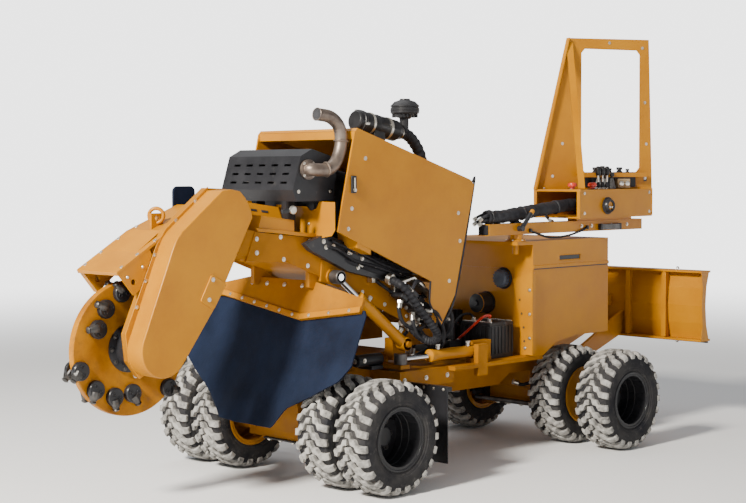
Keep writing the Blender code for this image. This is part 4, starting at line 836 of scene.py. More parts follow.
piece("rear_grille_frame", "boom", YELLOW, *rails, bevel=0.002)
piece("rear_grille_bolts", "boom", ZINC, *[bolt(middle_face + rear_out * 0.0162 + Vector((t * 0.258,
        s * (GRILLE_WIDE / 2 + 0.005), t * 0.967)), rear_out, 0.006) for s in (-1, 1)
      for t in (-0.19, 0, 0.19)])
piece("radiator_core", "boom", DARK_METAL_AND_HOLE_SHADE, turned_block((0.05, 0.62, 0.44),
      Matrix.Translation((0.80, -0.015, 1.27)) @ Matrix.Rotation(radians(14.7), 4, "Y")), bevel=0.004)

# Engine details in the hood's open front: alternator, oil filter, covers and pipes.
piece("alternator", "boom", ZINC, turned((-0.03, -0.17, 1.55), BACK,
      [(0, 0.0), (0, 0.035), (0.008, 0.050), (0.075, 0.050), (0.085, 0.035), (0.085, 0)], 32))
# Painted shade: short dark stubs stand for the dark inside of the alternator's vent openings.
piece("alternator_vent_shade", "boom", DARK_METAL_AND_HOLE_SHADE, *[rod((-0.034, -0.17 + 0.030 * cos(i * pi / 4),
        1.55 + 0.030 * sin(i * pi / 4)), (-0.0295, -0.17 + 0.030 * cos(i * pi / 4),
        1.55 + 0.030 * sin(i * pi / 4)), 0.007, sides=10) for i in range(8)])
piece("oil_filter", "boom", BLACK, turned((0.20, -0.205, 1.16), NEAR,
      [(0, 0), (0, 0.042), (0.06, 0.042), (0.070, 0.034), (0.072, 0)], 28))
piece("engine_ribs", "boom", DARK_METAL_AND_HOLE_SHADE, *[block((0.02 + 0.055 * i, -0.212, 1.12),
        (0.035 + 0.055 * i, 0.212, 1.48)) for i in range(10)], bevel=0.003)
piece("rocker_covers", "boom", BLACK, *[turned_block((0.36, 0.10, 0.05),
        Matrix.Translation((0.28, y, 1.595)) @ Matrix.Rotation(radians(12), 4, "Y"))
      for y in (-0.115, 0.115)], bevel=0.008)
hose("coolant_hose_upper", "boom", RUBBER, [(0.05, 0.05, 1.60), (-0.02, 0.10, 1.64), (0.02, 0.20, 1.62),
      (0.20, 0.26, 1.58), (0.42, 0.28, 1.50), (0.70, 0.26, 1.44)], 0.019)
hose("coolant_hose_lower", "boom", RUBBER, [(0.03, -0.10, 1.21), (0.02, -0.19, 1.20), (0.07, -0.27, 1.18),
      (0.20, -0.29, 1.14), (0.44, -0.29, 1.08), (0.66, -0.26, 1.10)], 0.019)
for i in range(5):
    fitted_hose(f"engine_line_{i}", "boom", [(-0.02 + 0.02 * i, -0.18 + 0.07 * i, 1.50),
          (-0.018, -0.22 + 0.07 * i, 1.46 - 0.02 * i), (-0.015, -0.24 + 0.08 * i, 1.36),
          (0.0, -0.20 + 0.09 * i, 1.24)], 0.008)

# The curved tailpipe, the muffler on its frame and feet, and the guard's bolts.
GUARD_LOW, GUARD_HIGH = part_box("muffler_guard")
can = [(0, 0), (0.003, 0.055), (0.012, 0.070), (0.022, 0.0745), (0.398, 0.0745), (0.408, 0.070),
    (0.417, 0.055), (0.420, 0)]
PIPE = [(-0.158, -0.300, 1.643), (-0.158, -0.330, 1.643), (-0.120, -0.352, 1.640), (-0.075, -0.355, 1.642),
    (-0.020, -0.352, 1.668), (0.022, -0.348, 1.730), (0.038, -0.345, 1.800), (0.020, -0.345, 1.868),
    (-0.040, -0.345, 1.912), (-0.132, -0.345, 1.925)]
hose("tailpipe", "boom", HOT_STEEL, PIPE, 0.034, 10)
mouth, mouth_out = Vector(PIPE[-1]), (Vector(PIPE[-1]) - Vector(PIPE[-2])).normalized()
piece("tailpipe_rim", "boom", HOT_STEEL, ring(mouth, mouth_out, 0.0325, 0.0025, 36, 8))
# The dark disc and short plug in the pipe's end stand for the open bore: partly real soot, partly painted
# shade of the bore's depth.
piece("tailpipe_bore_shade", "boom", DARK_METAL_AND_HOLE_SHADE, turned(mouth, mouth_out,
      [(-0.001, 0.0), (-0.001, 0.031), (0.0008, 0.031), (0.0008, 0.0)], 36))
hose("tailpipe_bore_shade", "boom", DARK_METAL_AND_HOLE_SHADE, [(-0.128, -0.345, 1.9247), (-0.1335, -0.345, 1.9253)], 0.0295, 2)
piece("exhaust_frame", "boom", BLACK, turned((-0.13, -0.22, 1.60), FAR, can, 40),
    *[block((-0.16, y, 1.31), (-0.10, y + 0.04, 1.56)) for y in (-0.14, 0.10)],
    rod((-0.155, -0.31, 1.64), (-0.155, -0.20, 1.64), 0.032), stands_for=["exhaust_pipe"])
piece("muffler_foot", "boom", BLACK, slab([(-0.24, 1.3065), (-0.08, 1.2895), (-0.08, 1.3095),
        (-0.24, 1.3265)], -0.2495, 0.2495), bevel=0.002)
piece("exhaust_flange", "boom", HOT_STEEL, turned((-0.158, -0.3015, 1.643), NEAR,
      [(0, 0.0), (0, 0.052), (0.011, 0.052), (0.013, 0.038), (0.022, 0.037), (0.022, 0)], 32),
    ring((-0.078, -0.3545, 1.6425), (1, -0.1, 0.1), 0.036, 0.005, 28, 8),
    ring((0.037, -0.3452, 1.790), (0.1, 0, 1), 0.036, 0.005, 28, 8))
piece("exhaust_flange_bolts", "boom", ZINC, *[bolt((-0.158 + 0.043 * cos(a), -0.3125,
        1.643 + 0.043 * sin(a)), NEAR, 0.006) for a in (0.8, 2.4, 3.9, 5.5)])
guard_bolts = [(GUARD_LOW.y - 0.0002, NEAR), (GUARD_HIGH.y + 0.0002, FAR)]
piece("muffler_guard_bolts", "boom", ZINC, *[bolt((x, y, z), away, 0.0065) for y, away in guard_bolts
      for x, z in ((-0.22, 1.53), (0.0, 1.53), (0.02, 1.66))])

# Guard perforations: narrow dark slots on the sloping top, painted shade for the dark inside of the open
# slots.
top_slots = []
for i in range(11):
    for j in range(4):
        x = -0.095 + 0.038 * j
        z = 1.7498 - (x + 0.126) * 0.2707
        place = Matrix.Translation((x, -0.262 + i * 0.05, z)) @ Matrix.Rotation(0.264, 4, "Y")
        top_slots.append(turned_block((0.009, 0.034, 0.0016), place))
piece("muffler_guard_slot_shade", "boom", DARK_METAL_AND_HOLE_SHADE, *top_slots, bevel=0.0004)

# Air cleaner, its bands and the pre-cleaner bowl.
AIR_LOW = Vector((0.42, -0.05, 1.915))
AIR_HIGH = Vector((0.765, -0.05, 1.855))
air_along = (AIR_HIGH - AIR_LOW).normalized()
air_length = (AIR_HIGH - AIR_LOW).length
air_profile = [(0, 0), (0, 0.048), (0.008, 0.056), (0.030, 0.057), (0.034, 0.0635), (0.048, 0.0635),
    (0.052, 0.060), (0.150, 0.060), (0.154, 0.062), (0.162, 0.062), (0.166, 0.060),
    (air_length - 0.035, 0.060), (air_length - 0.02, 0.050), (air_length, 0.044), (air_length, 0)]
piece("air_cleaner_can", "boom", PLASTIC, turned(AIR_LOW, air_along, air_profile, 48),
    rod((0.81, -0.053, 1.838), (0.81, -0.053, 1.930), 0.026),
    rod((0.72, -0.052, 1.860), (0.815, -0.052, 1.864), 0.026),
    block((0.53, -0.10, 1.735), (0.61, 0.0, 1.87)),
    slab([(0.50, 1.736), (0.64, 1.693), (0.64, 1.723), (0.50, 1.766)], -0.11, 0.01),
    stands_for=["air_cleaner"], bevel=0.0015)
bands = []
for distance in (0.10, 0.24):
    spot = AIR_LOW + air_along * distance
    bands.append(turned(spot, air_along, [(0, 0.0605), (0, 0.0635), (0.014, 0.0635), (0.014, 0.0605)], 48))
piece("air_cleaner_bands", "boom", ZINC, *bands)
piece("air_cleaner_clips", "boom", ZINC, *[turned_block((0.030, 0.012, 0.004),
        Matrix.Translation(AIR_LOW + air_along * 0.042 + Vector((0, 0.0655 * sin(a),
        0.0655 * cos(a)))) @ Matrix.Rotation(-a, 4, "X")) for a in (0.3, 2.4, 4.5)])


def bellows(t):
    """A hose's ribs as a share of its radius."""
    return 1.0 + 0.06 * sin(t * 2 * pi * 13)


hose("intake_elbow", "boom", RUBBER, [(0.75, -0.051, 1.852), (0.83, -0.05, 1.842), (0.90, -0.05, 1.79),
      (0.95, -0.05, 1.71), (0.957, -0.05, 1.62), (0.93, -0.05, 1.52)], 0.033, 22, bellows)
piece("intake_clamps", "boom", ZINC, ring((0.775, -0.051, 1.850), (1, 0, -0.15), 0.034, 0.0035, 28, 8),
    ring((0.955, -0.05, 1.645), (0, 0, 1), 0.034, 0.0035, 28, 8))
BOWL = Vector((0.82, -0.05, 1.928))
piece("precleaner_bowl", "boom", PLASTIC, turned(BOWL, UP,
      [(0, 0), (0, 0.030), (0.018, 0.045), (0.030, 0.078), (0.036, 0.082), (0.062, 0.082), (0.064, 0.078),
        (0.068, 0.078), (0.070, 0.082), (0.076, 0.082), (0.098, 0.060), (0.108, 0.030), (0.115, 0.028),
        (0.115, 0)], 48), stands_for=["precleaner"])
piece("precleaner_vanes", "boom", PLASTIC, *[turned_block((0.004, 0.020, 0.022),
        Matrix.Translation(BOWL + Vector((0.066 * cos(a), 0.066 * sin(a),
        0.020))) @ Matrix.Rotation(a + 0.6, 4, "Z")) for a in [2 * pi * i / 18 for i in range(18)]],
    ring(BOWL + Vector((0, 0, 0.050)), UP, 0.0825, 0.0022, 48, 8))

# Chip curtain: a heavy rubber mat with shallow waves, clamped to its bracket by bolted bars; its navy tint
# is painted shade.
CURTAIN_X = -0.10
CURTAIN_Z = 0.854
LEAN = radians(24)
MAT = [(-0.63, 0.93), (-0.65, 0.90), (-0.65, 0.66), (-0.59, 0.58), (-0.45, 0.50), (-0.28, 0.42),
    (-0.21, 0.32), (0.08, 0.32), (0.21, 0.33), (0.34, 0.44), (0.63, 0.61), (0.65, 0.66), (0.65, 0.92),
    (0.50, 0.95), (-0.20, 0.87)]


def on_curtain(y, z, ahead):
    """A point on the curtain's plane at that y and height, that far in front of it."""
    x = CURTAIN_X - (CURTAIN_Z - z) * (sin(LEAN) / cos(LEAN))
    return Vector((x - ahead * cos(LEAN), y, z + ahead * sin(LEAN)))


def edge_at(y, upper):
    """The mat's upper or lower edge at y."""
    found = []
    for (y0, z0), (y1, z1) in zip(MAT, [*MAT[1:], MAT[0]]):
        if min(y0, y1) <= y <= max(y0, y1) and abs(y1 - y0) > 1e-9:
            found.append(z0 + (z1 - z0) * (y - y0) / (y1 - y0))
    return max(found) if upper else min(found)


def mat(shape):
    """The mat's two waved faces, closed around their rim."""
    columns, rows = 72, 30
    for face in (0.0085, 0.0015):
        grid = []
        for i in range(columns + 1):
            y = -0.6495 + 1.299 * i / columns
            low, high = edge_at(y, False), edge_at(y, True)
            line = []
            for j in range(rows + 1):
                z = low + (high - low) * j / rows
                down = (high - z) / 0.6
                wave = 0.0055 * sin(y * 13 + 0.6) * down + 0.003 * sin(y * 31 + z * 9) * down
                line.append(shape.verts.new(on_curtain(y, z,
                        face + wave * (1 if down > 0.05 else down * 20))))
            grid.append(line)
        for i in range(columns):
            for j in range(rows):
                shape.faces.new((grid[i][j], grid[i + 1][j], grid[i + 1][j + 1], grid[i][j + 1]))
        if face > 0.005:
            front = grid
    rim_front = [*[c[0] for c in front], *front[-1][1:], *[c[-1] for c in reversed(front[:-1])],
        *reversed(front[0][1:-1])]
    rim_back = [*[c[0] for c in grid], *grid[-1][1:], *[c[-1] for c in reversed(grid[:-1])],
        *reversed(grid[0][1:-1])]
    for i in range(len(rim_front)):
        j = (i + 1) % len(rim_front)
        shape.faces.new((rim_front[i], rim_front[j], rim_back[j], rim_back[i]))


curtain_piece = piece("rubber_curtain", "boom", NAVY_SHADED_RUBBER, mat, stands_for=["chip_curtain"])
edge_line = [(-0.62, 0.925), (-0.195, 0.865), (0.46, 0.955), (0.60, 0.955)]
bars, bar_bolts = [], []
for (y0, z0), (y1, z1) in zip(edge_line, edge_line[1:]):
    a, b = on_curtain(y0, z0, 0.0345), on_curtain(y1, z1, 0.0345)
    along = (b - a).normalized()
    normal = Vector((-cos(LEAN), 0, sin(LEAN)))
    place = Matrix((along, normal, along.cross(normal))).transposed().to_4x4()
    place.translation = (a + b) / 2
    bars.append(turned_block(((b - a).length, 0.006, 0.030), place))
    count = max(2, int((b - a).length / 0.11))
    for i in range(count):
        bar_bolts.append(bolt(a + (b - a) * ((i + 0.5) / count) + normal * 0.003, normal, 0.0065))
piece("curtain_bars", "boom", YELLOW, *bars, bevel=0.0015)
piece("curtain_bolts", "boom", ZINC, *bar_bolts)
piece("curtain_frame_bolts", "boom", ZINC, *[bolt(on_curtain(y, 1.02, 0.0305), (-cos(LEAN), 0, sin(LEAN)),
        0.009) for y in (-0.14, 0.0, 0.14, 0.26)])

CYLINDER_R = 0.031
# Cylinders: smooth barrels over the CAD ones, glands, ports and open rings at their eyes.
LIFT = (Vector((0.549, -0.30, 0.689)), Vector((0.05, -0.30, 1.08)))
SWING = (Vector((1.04, -0.38, 0.618)), Vector((0.46, -0.36, 0.618)))
BLADE_CYL = (Vector((REAR + 0.24, 0, 0.56)), Vector((REAR + 0.83, 0, 0.785)))


def dressed_cylinder(name, foot, head, body, start, length, radius):
    """A gland collar, end cap and two ports on a barrel that starts that far from its foot."""
    along = (head - foot).normalized()
    side = along.cross(Vector((0, 1, 0)) if abs(along.y) < 0.9 else Vector((0, 0, 1))).normalized()
    if side.z < 0:
        side = -side
    a = foot + along * start
    sleeve = [(0, 0.0), (0, radius * 0.92), (0.004, radius * 1.03), (length, radius * 1.03),
        (length, radius * 1.16), (length + 0.022, radius * 1.16), (length + 0.026, radius * 0.7),
        (length + 0.026, 0.0)]
    piece(f"{name}_sleeve", body, YELLOW, turned(a, along, sleeve, 40))
    ports = []
    for share in (0.10, 0.86):
        spot = a + along * length * share + side * radius
        ports += [rod(spot, spot + side * 0.018, 0.011, sides=18),
            turned(spot + side * 0.018, side, drum(0.013, 0.010), 6)]
    piece(f"{name}_ports", body, ZINC, *ports)
    return a, along, side


for name, (foot, head), body, share, start in (("lift_cylinder", LIFT, "lift_barrel", 0.70, 0.026),
    ("swing_cylinder", SWING, "swing_barrel", 0.62, 0.022),
    ("blade_cylinder", BLADE_CYL, "blade_barrel", 0.62, 0.026)):
    reach = (head - foot).length
    dressed_cylinder(name, foot, head, body, start, reach * share - start - 0.02, CYLINDER_R)
for body, spot, across in (("lift_barrel", LIFT[0], FAR), ("lift_rod", LIFT[1], FAR),
    ("swing_barrel", SWING[0], UP), ("swing_rod", SWING[1], UP), ("blade_barrel", BLADE_CYL[0], FAR),
    ("blade_rod", BLADE_CYL[1], FAR)):
    half = Vector(across) * 0.030
    piece(f"{body}_eye", body, YELLOW if "barrel" in body else STEEL,
        turned(spot - half, across, [(0, 0.018), (0, 0.0345), (0.003, 0.0365), (0.057, 0.0365),
            (0.060, 0.0345), (0.060, 0.018), (0, 0.018)], 32))
fitted_hose("lift_hose_1", "turret", [(0.60, -0.20, 0.70), (0.63, -0.24, 0.74), (0.61, -0.27, 0.78),
      (0.56, -0.27, 0.80)], 0.010)

# Rear body: filler cap, strainer, flange bolts, far panel, the lid's seam, grips and hinges, louvres, lamps.
EX0 = REAR - 0.422
EX1 = REAR + 0.302
SIDE = 0.45
piece("filler_cap_grip", "chassis", CAP_BLUE, turned((EX0 - 0.010, -0.23, 1.0), FRONT,
      [(0, 0.0), (0, 0.050), (0.028, 0.050), (0.034, 0.046), (0.040, 0.040), (0.042, 0.0)], 36),
    *[rod((EX0 - 0.012, -0.23 + 0.050 * cos(a), 1.0 + 0.050 * sin(a)),
        (EX0 - 0.040, -0.23 + 0.050 * cos(a), 1.0 + 0.050 * sin(a)), 0.005, sides=10)
      for a in [2 * pi * i / 16 for i in range(16)]])
piece("filler_neck", "chassis", BLACK, ring((EX0 - 0.004, -0.23, 1.0), FRONT, 0.058, 0.007, 36, 8))
piece("strainer_cover", "chassis", BLACK, turned((EX0 - 0.002, -0.10, 0.85), FRONT,
      [(0, 0.0), (0, 0.066), (0.012, 0.066), (0.014, 0.0605), (0.094, 0.0605), (0.100, 0.054),
        (0.102, 0.020), (0.112, 0.018), (0.112, 0)], 40))
piece("enclosure_flange_bolts", "chassis", ZINC, *[bolt((EX0 - 0.0235, y, z), FRONT, 0.007)
      for y, z in ((-0.445, 0.66), (-0.445, 0.80), (-0.445, 0.94), (-0.41, 0.60))])
# Painted shade: thin dark discs stand for the dark inside of empty holes in the flange.
piece("enclosure_flange_hole_shade", "chassis", DARK_METAL_AND_HOLE_SHADE, *[turned((EX0 - 0.0230, y, z), FRONT,
        [(0, 0.007), (0.0006, 0.007), (0.0006, 0)], 18)
      for y, z in ((-0.40, 0.72), (-0.385, 0.80), (-0.37, 0.88), (-0.405, 0.64))])
far_spots = [(EX0 + 0.06, 0.70), (EX0 + 0.06, 0.86), (EX0 + 0.06, 1.02), (EX1 - 0.03, 0.70),
    (EX1 - 0.03, 0.86), (EX1 - 0.03, 1.02), (EX0 + 0.30, 0.68), (EX0 + 0.52, 0.68), (EX0 + 0.06, 1.19),
    (EX1 - 0.03, 1.19)]
piece("enclosure_screws", "chassis", ZINC, *side_bolts(SIDE + 0.0003, FAR, 0.0065, far_spots))
piece("enclosure_far_panel", "chassis", YELLOW, block((EX0 + 0.10, SIDE - 0.002, 0.73),
      (EX1 - 0.05, SIDE + 0.0035, 1.03)), bevel=0.0025)
piece("lid_seam", "chassis", BLACK, *[block((EX0 + 0.012, min(s * (SIDE - 0.002), s * (SIDE + 0.0009)),
        1.0575), (EX1 - 0.004, max(s * (SIDE - 0.002), s * (SIDE + 0.0009)), 1.0635)) for s in (-1, 1)])
piece("lid_skirt", "chassis", YELLOW, *[block((EX0 + 0.004, min(s * (SIDE - 0.001), s * (SIDE + 0.005)),
        1.064), (EX1 + 0.004, max(s * (SIDE - 0.001), s * (SIDE + 0.005)), 1.082)) for s in (-1, 1)],
    block((EX1 - 0.001, -SIDE - 0.004, 1.064), (EX1 + 0.005, SIDE + 0.004, 1.082)), bevel=0.0015)
piece("lid_grips", "chassis", BLACK, *[block((EX0 + 0.252, min(s * 0.432, s * 0.446), 1.107),
        (EX0 + 0.442, max(s * 0.432, s * 0.446), 1.131)) for s in (-1, 1)])
rims = []
for s in (-1, 1):
    for z in (1.1035, 1.1345):
        rims.append(rod((EX0 + 0.247, s * (SIDE + 0.001), z), (EX0 + 0.447, s * (SIDE + 0.001), z), 0.0025,
              sides=10))
piece("lid_grip_edges", "chassis", YELLOW, *rims)
piece("lid_hinges", "chassis", BLACK, *[block((EX1 - 0.004, y - 0.035, 1.02),
        (EX1 + 0.006, y + 0.035, 1.10)) for y in (-0.28, 0.28)],
    *[rod((EX1 + 0.008, y - 0.035, 1.062), (EX1 + 0.008, y + 0.035, 1.062), 0.007) for y in (-0.28, 0.28)],
    bevel=0.0015)
louvres = []
for i in range(7):
    for s in (-1, 1):
        place = Matrix.Translation((EX1 + 0.002, s * 0.16, 0.74 + 0.034 * i)) @ Matrix.Rotation(radians(35),
            4, "Y")
        louvres.append(turned_block((0.016, 0.22, 0.004), place))
piece("rear_louvres", "chassis", YELLOW, *louvres, bevel=0.001)
piece("rear_lamps", "chassis", RED, *[turned((EX1, y, 0.985), BACK,
        [(0, 0.0), (0, 0.032), (0.010, 0.032), (0.016, 0.026), (0.018, 0.0)], 28) for y in (-0.37, 0.37)])
piece("rear_lamp_rings", "chassis", BLACK, *[ring((EX1 + 0.002, y, 0.985), BACK, 0.034, 0.004, 28, 8)
      for y in (-0.37, 0.37)])
piece("arm_post_collar", "chassis", YELLOW, turned((REAR - 0.495, -0.38, 1.2245), UP,
      [(0, 0.0475), (0.0, 0.062), (0.006, 0.062), (0.014, 0.0485), (0.014, 0.0475)], 36))
piece("arm_post_bolts", "chassis", ZINC, *[bolt((REAR - 0.495 + 0.054 * cos(a), -0.38 + 0.054 * sin(a),
        1.2305), UP, 0.006) for a in [0.4 + 2 * pi * i / 6 for i in range(6)]])

# Battery with its cables, valve block with its hoses, and a filter on a block on the deck.
piece("battery_lid", "chassis", PLASTIC, block((1.197, -0.363, 0.742), (1.403, -0.137, 0.757)), bevel=0.003)
piece("battery_ribs", "chassis", PLASTIC, *[block((1.195, -0.355 + 0.030 * i, 0.58),
        (1.1995, -0.345 + 0.030 * i, 0.735)) for i in range(8)],
    *[block((1.21 + 0.030 * i, -0.3645, 0.58), (1.22 + 0.030 * i, -0.3605, 0.735)) for i in range(7)])
piece("battery_posts", "chassis", ZINC, *[turned((1.25, y, 0.757), UP,
        [(0, 0.0), (0, 0.014), (0.022, 0.011), (0.024, 0.009), (0.024, 0.0)], 20) for y in (-0.31, -0.19)],
    rod((1.21, -0.36, 0.762), (1.21, -0.14, 0.762), 0.004),
    rod((1.39, -0.36, 0.762), (1.39, -0.14, 0.762), 0.004))
piece("battery_strap", "chassis", BLACK, block((1.32, -0.366, 0.742), (1.345, -0.134, 0.762)), bevel=0.002)
hose("battery_cable_1", "chassis", RED, [(1.25, -0.31, 0.779), (1.23, -0.33, 0.80), (1.20, -0.30, 0.79),
      (1.18, -0.22, 0.72), (1.16, -0.12, 0.64), (1.12, 0.0, 0.575)], 0.0075)
hose("battery_cable_2", "chassis", RUBBER, [(1.25, -0.19, 0.779), (1.24, -0.16, 0.80), (1.20, -0.12, 0.78),
      (1.17, -0.06, 0.68), (1.10, 0.04, 0.575)], 0.0075)
spools, solenoids = [], []
for i in range(4):
    x = 1.24 + 0.045 * i
    spools.append(turned((x, 0.20, 0.80), UP, [(0, 0.0), (0, 0.018), (0.034, 0.018), (0.040, 0.012),
            (0.046, 0.010), (0.046, 0)], 20))
    solenoids.append(rod((x, 0.045, 0.71), (x, -0.01, 0.71), 0.016))
piece("valve_spools", "chassis", ZINC, *spools)
piece("valve_solenoids", "chassis", BLACK, *solenoids,
    *[block((1.243 + 0.045 * i - 0.012, 0.0, 0.69), (1.243 + 0.045 * i + 0.006, 0.03, 0.73))
      for i in range(4)], bevel=0.0015)
piece("valve_slices", "chassis", BLACK, *[block((1.205 + 0.052 * i, 0.044, 0.60),
        (1.247 + 0.052 * i, 0.366, 0.804)) for i in range(4)], bevel=0.003)
for i in range(4):
    x = 1.24 + 0.045 * i
    fitted_hose(f"valve_hose_{i}", "chassis", [(1.198, 0.08 + 0.07 * i, 0.76),
          (1.12, 0.07 + 0.06 * i, 0.77), (1.03, 0.04 + 0.05 * i, 0.73), (0.97, 0.02 + 0.04 * i, 0.65),
          (0.93, 0.0 + 0.04 * i, 0.575)], 0.011)
piece("deck_blocks", "chassis", BLACK, block((1.03, -0.20, 0.5538), (1.12, -0.10, 0.66)),
    turned((1.075, -0.15, 0.66), UP, [(0, 0.0), (0, 0.038), (0.10, 0.038), (0.112, 0.028), (0.114, 0)], 28),
    bevel=0.003)
piece("deck_block_cap", "chassis", ZINC, bolt((1.075, -0.15, 0.774), UP, 0.013),
    *[bolt((x, y, 0.661), UP, 0.006) for x, y in ((1.04, -0.19), (1.11, -0.19), (1.04, -0.11),
        (1.11, -0.11))])
fitted_hose("deck_hose_1", "chassis", [(1.075, -0.20, 0.60), (1.06, -0.27, 0.61), (1.0, -0.31, 0.60),
      (0.90, -0.30, 0.585), (0.80, -0.26, 0.575)], 0.011)
fitted_hose("deck_hose_2", "chassis", [(1.03, -0.13, 0.62), (0.95, -0.13, 0.63), (0.88, -0.12, 0.60),
      (0.80, -0.10, 0.572)], 0.011)

# Control station: the arm, its sleeve of hoses, the box and its controls, and the window guard.
ARM_X = REAR - 0.495
ARM_Y = -0.38
BX0 = ARM_X + 0.45
BX1 = BX0 + 0.734
BOX_LOW, BOX_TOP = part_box("control_box")[0].z, 1.519
BOX_NEAR, BOX_FAR = -0.50, -0.15
TURN = radians(20)


def on_guard(t, out, z):
    """A point on the guard's plate: t along it, out behind it."""
    return Vector((BX0 + t * cos(TURN) + out * sin(TURN), BOX_FAR + 0.002 - t * sin(TURN) + out * cos(TURN),
          z))


GUARD_NEAR = Vector((-sin(TURN), -cos(TURN), 0))


def guard_block(t0, t1, out0, out1, z0, z1):
    """A block turned with the window guard."""
    place = Matrix.Rotation(-TURN, 4, "Z")
    place.translation = on_guard((t0 + t1) / 2, (out0 + out1) / 2, (z0 + z1) / 2)
    return turned_block((t1 - t0, out1 - out0, z1 - z0), place)


def sleeve_shape(t):
    """Soft folds along the sleeve."""
    return 1.0 + 0.035 * sin(t * 47) + 0.025 * sin(t * 83 + 1.0) + 0.02 * sin(t * 141)


SLEEVE = [(ARM_X - 0.26, ARM_Y, 1.3697), (ARM_X - 0.14, ARM_Y, 1.3697), (ARM_X + 0.08, ARM_Y, 1.39),
    (ARM_X + 0.30, ARM_Y, 1.41), (ARM_X + 0.47, ARM_Y, 1.425), (ARM_X + 0.60, ARM_Y, 1.43)]
hose("hose_wrap", "control_arm", RUBBER, SLEEVE, 0.0385, 30, sleeve_shape, stands_for=["hose_sleeve"])
piece("hose_wrap_bands", "control_arm", BLACK, ring((ARM_X - 0.235, ARM_Y, 1.3697), BACK, 0.0385, 0.004, 32,
      8), ring((ARM_X + 0.05, ARM_Y, 1.3865), (1, 0, 0.09), 0.0385, 0.004, 32, 8),
    ring((ARM_X + 0.36, ARM_Y, 1.415), (1, 0, 0.08), 0.0385, 0.004, 32, 8))
ends = []
for i, (dy, dz) in enumerate(((-0.016, 0.012), (0.012, 0.016), (0.014, -0.012), (-0.012, -0.014))):
    hose(f"arm_hose_{i}", "control_arm", RUBBER, [(ARM_X - 0.24, ARM_Y + dy, 1.3697 + dz),
          (ARM_X - 0.285, ARM_Y + dy * 1.3, 1.366 + dz),
          (ARM_X - 0.315, ARM_Y + dy * 1.5 + 0.02, 1.345 + dz)], 0.0085)
    ends.append(turned((ARM_X - 0.308, ARM_Y + dy * 1.45 + 0.014, 1.350 + dz), (-0.8, 0.3, -0.6),
          drum(0.012, 0.02), 6))
piece("arm_hose_ends", "control_arm", ZINC, *ends)
piece("arm_caps", "control_arm", BLACK, block((ARM_X - 0.2835, ARM_Y - 0.036, 1.269),
      (ARM_X - 0.2795, ARM_Y + 0.036, 1.326)), block((ARM_X + 1.1895, ARM_Y - 0.036, 1.269),
      (ARM_X + 1.1935, ARM_Y + 0.036, 1.326)), bevel=0.001)
piece("arm_pivot_head", "control_arm", BLACK, turned((ARM_X, ARM_Y, 1.330), UP,
      [(0, 0.0), (0, 0.034), (0.006, 0.034), (0.010, 0.028), (0.010, 0.022), (0.020, 0.020), (0.020, 0)],
      32))
piece("arm_pad_bolts", "control_arm", ZINC, *[bolt((x, ARM_Y - 0.0402, 1.298), NEAR, 0.0075)
      for x in (BX0 + 0.12, BX0 + 0.22, BX0 + 0.42, BX0 + 0.58)])
piece("lock_sleeve", "lock_lever", BLACK, rod((ARM_X - 0.02 + 0.012, -0.442, 1.312),
      (ARM_X - 0.02 + 0.088, -0.442, 1.388), 0.0125))
piece("lock_cap", "lock_lever", YELLOW, turned((ARM_X - 0.02 + 0.086, -0.442, 1.386), (1, 0, 1),
      [(0, 0.0), (0, 0.0135), (0.020, 0.0135), (0.026, 0.009), (0.028, 0.0)], 20))
repaint("lock_lever", BLACK, 0.001)

# Box: lid, corner screws, socket with two contacts, ledge with knobs, boots and a connector.
piece("box_lid", "control_arm", YELLOW, block((BX0 - 0.002, BOX_NEAR - 0.003, BOX_TOP - 0.012),
      (BX0 + 0.020, BOX_FAR + 0.003, BOX_TOP + 0.0025)),
    block((BX1 - 0.004, BOX_NEAR - 0.003, BOX_LOW + 0.006),
      (BX1 + 0.003, BOX_FAR + 0.003, BOX_TOP + 0.0025)), bevel=0.0015)
piece("box_screws", "control_arm", ZINC, *side_bolts(BOX_NEAR - 0.0002, NEAR, 0.0062,
      ((BX0 + 0.045, BOX_TOP - 0.022), (BX1 - 0.03, BOX_TOP - 0.022), (BX1 - 0.03, BOX_LOW + 0.03),
        (BX0 + 0.045, BOX_LOW + 0.03))), *[bolt((x, BOX_FAR + 0.0002, z), FAR, 0.0062)
      for x in (BX0 + 0.05, BX1 - 0.05) for z in (1.38, 1.49)],
    *[bolt((BX1 + 0.003, y, z), BACK, 0.0062) for y in (-0.46, -0.19) for z in (1.38, 1.49)])
socket = Vector((BX0 + 0.27, BOX_NEAR - 0.022, 1.42))
piece("socket_ring", "control_arm", BLACK, turned(socket + Vector((0, 0.020, 0)), NEAR,
      [(0, 0.0), (0, 0.052), (0.006, 0.052), (0.010, 0.044), (0.022, 0.042), (0.030, 0.036), (0.026, 0.026),
        (0.012, 0.024), (0.012, 0.0)], 40))
piece("socket_pins", "control_arm", ZINC, *[rod(socket + Vector((dx, 0.010, -0.008)),
        socket + Vector((dx, -0.008, -0.008)), 0.0055, sides=14) for dx in (-0.011, 0.011)])
shelf_knobs = []
for t, wide, tall in ((0.42, 0.018, 0.036), (0.475, 0.018, 0.044), (0.53, 0.014, 0.030),
    (0.60, 0.022, 0.036), (0.66, 0.014, 0.026)):
    shelf_knobs.append(turned(on_guard(t, -0.028, 1.618), UP,
          [(0, 0.0), (0, wide), (tall * 0.3, wide * 0.8), (tall * 0.5, wide * 0.5),
            (tall * 0.6, wide * 0.9), (tall, wide * 0.8), (tall, 0)], 22))
piece("shelf_knobs", "control_arm", PLASTIC, *shelf_knobs)
piece("shelf_lip", "control_arm", YELLOW, guard_block(0.298, 0.792, -0.0535, -0.0495, 1.592, 1.620),
    bevel=0.0012)
piece("guard_panel", "control_arm", BLACK, guard_block(0.315, 0.735, -0.010, -0.0032, 1.530, 1.608),
    bevel=0.002)
BOOT_PLACES = (0.425, 0.475, 0.525)
boots = []
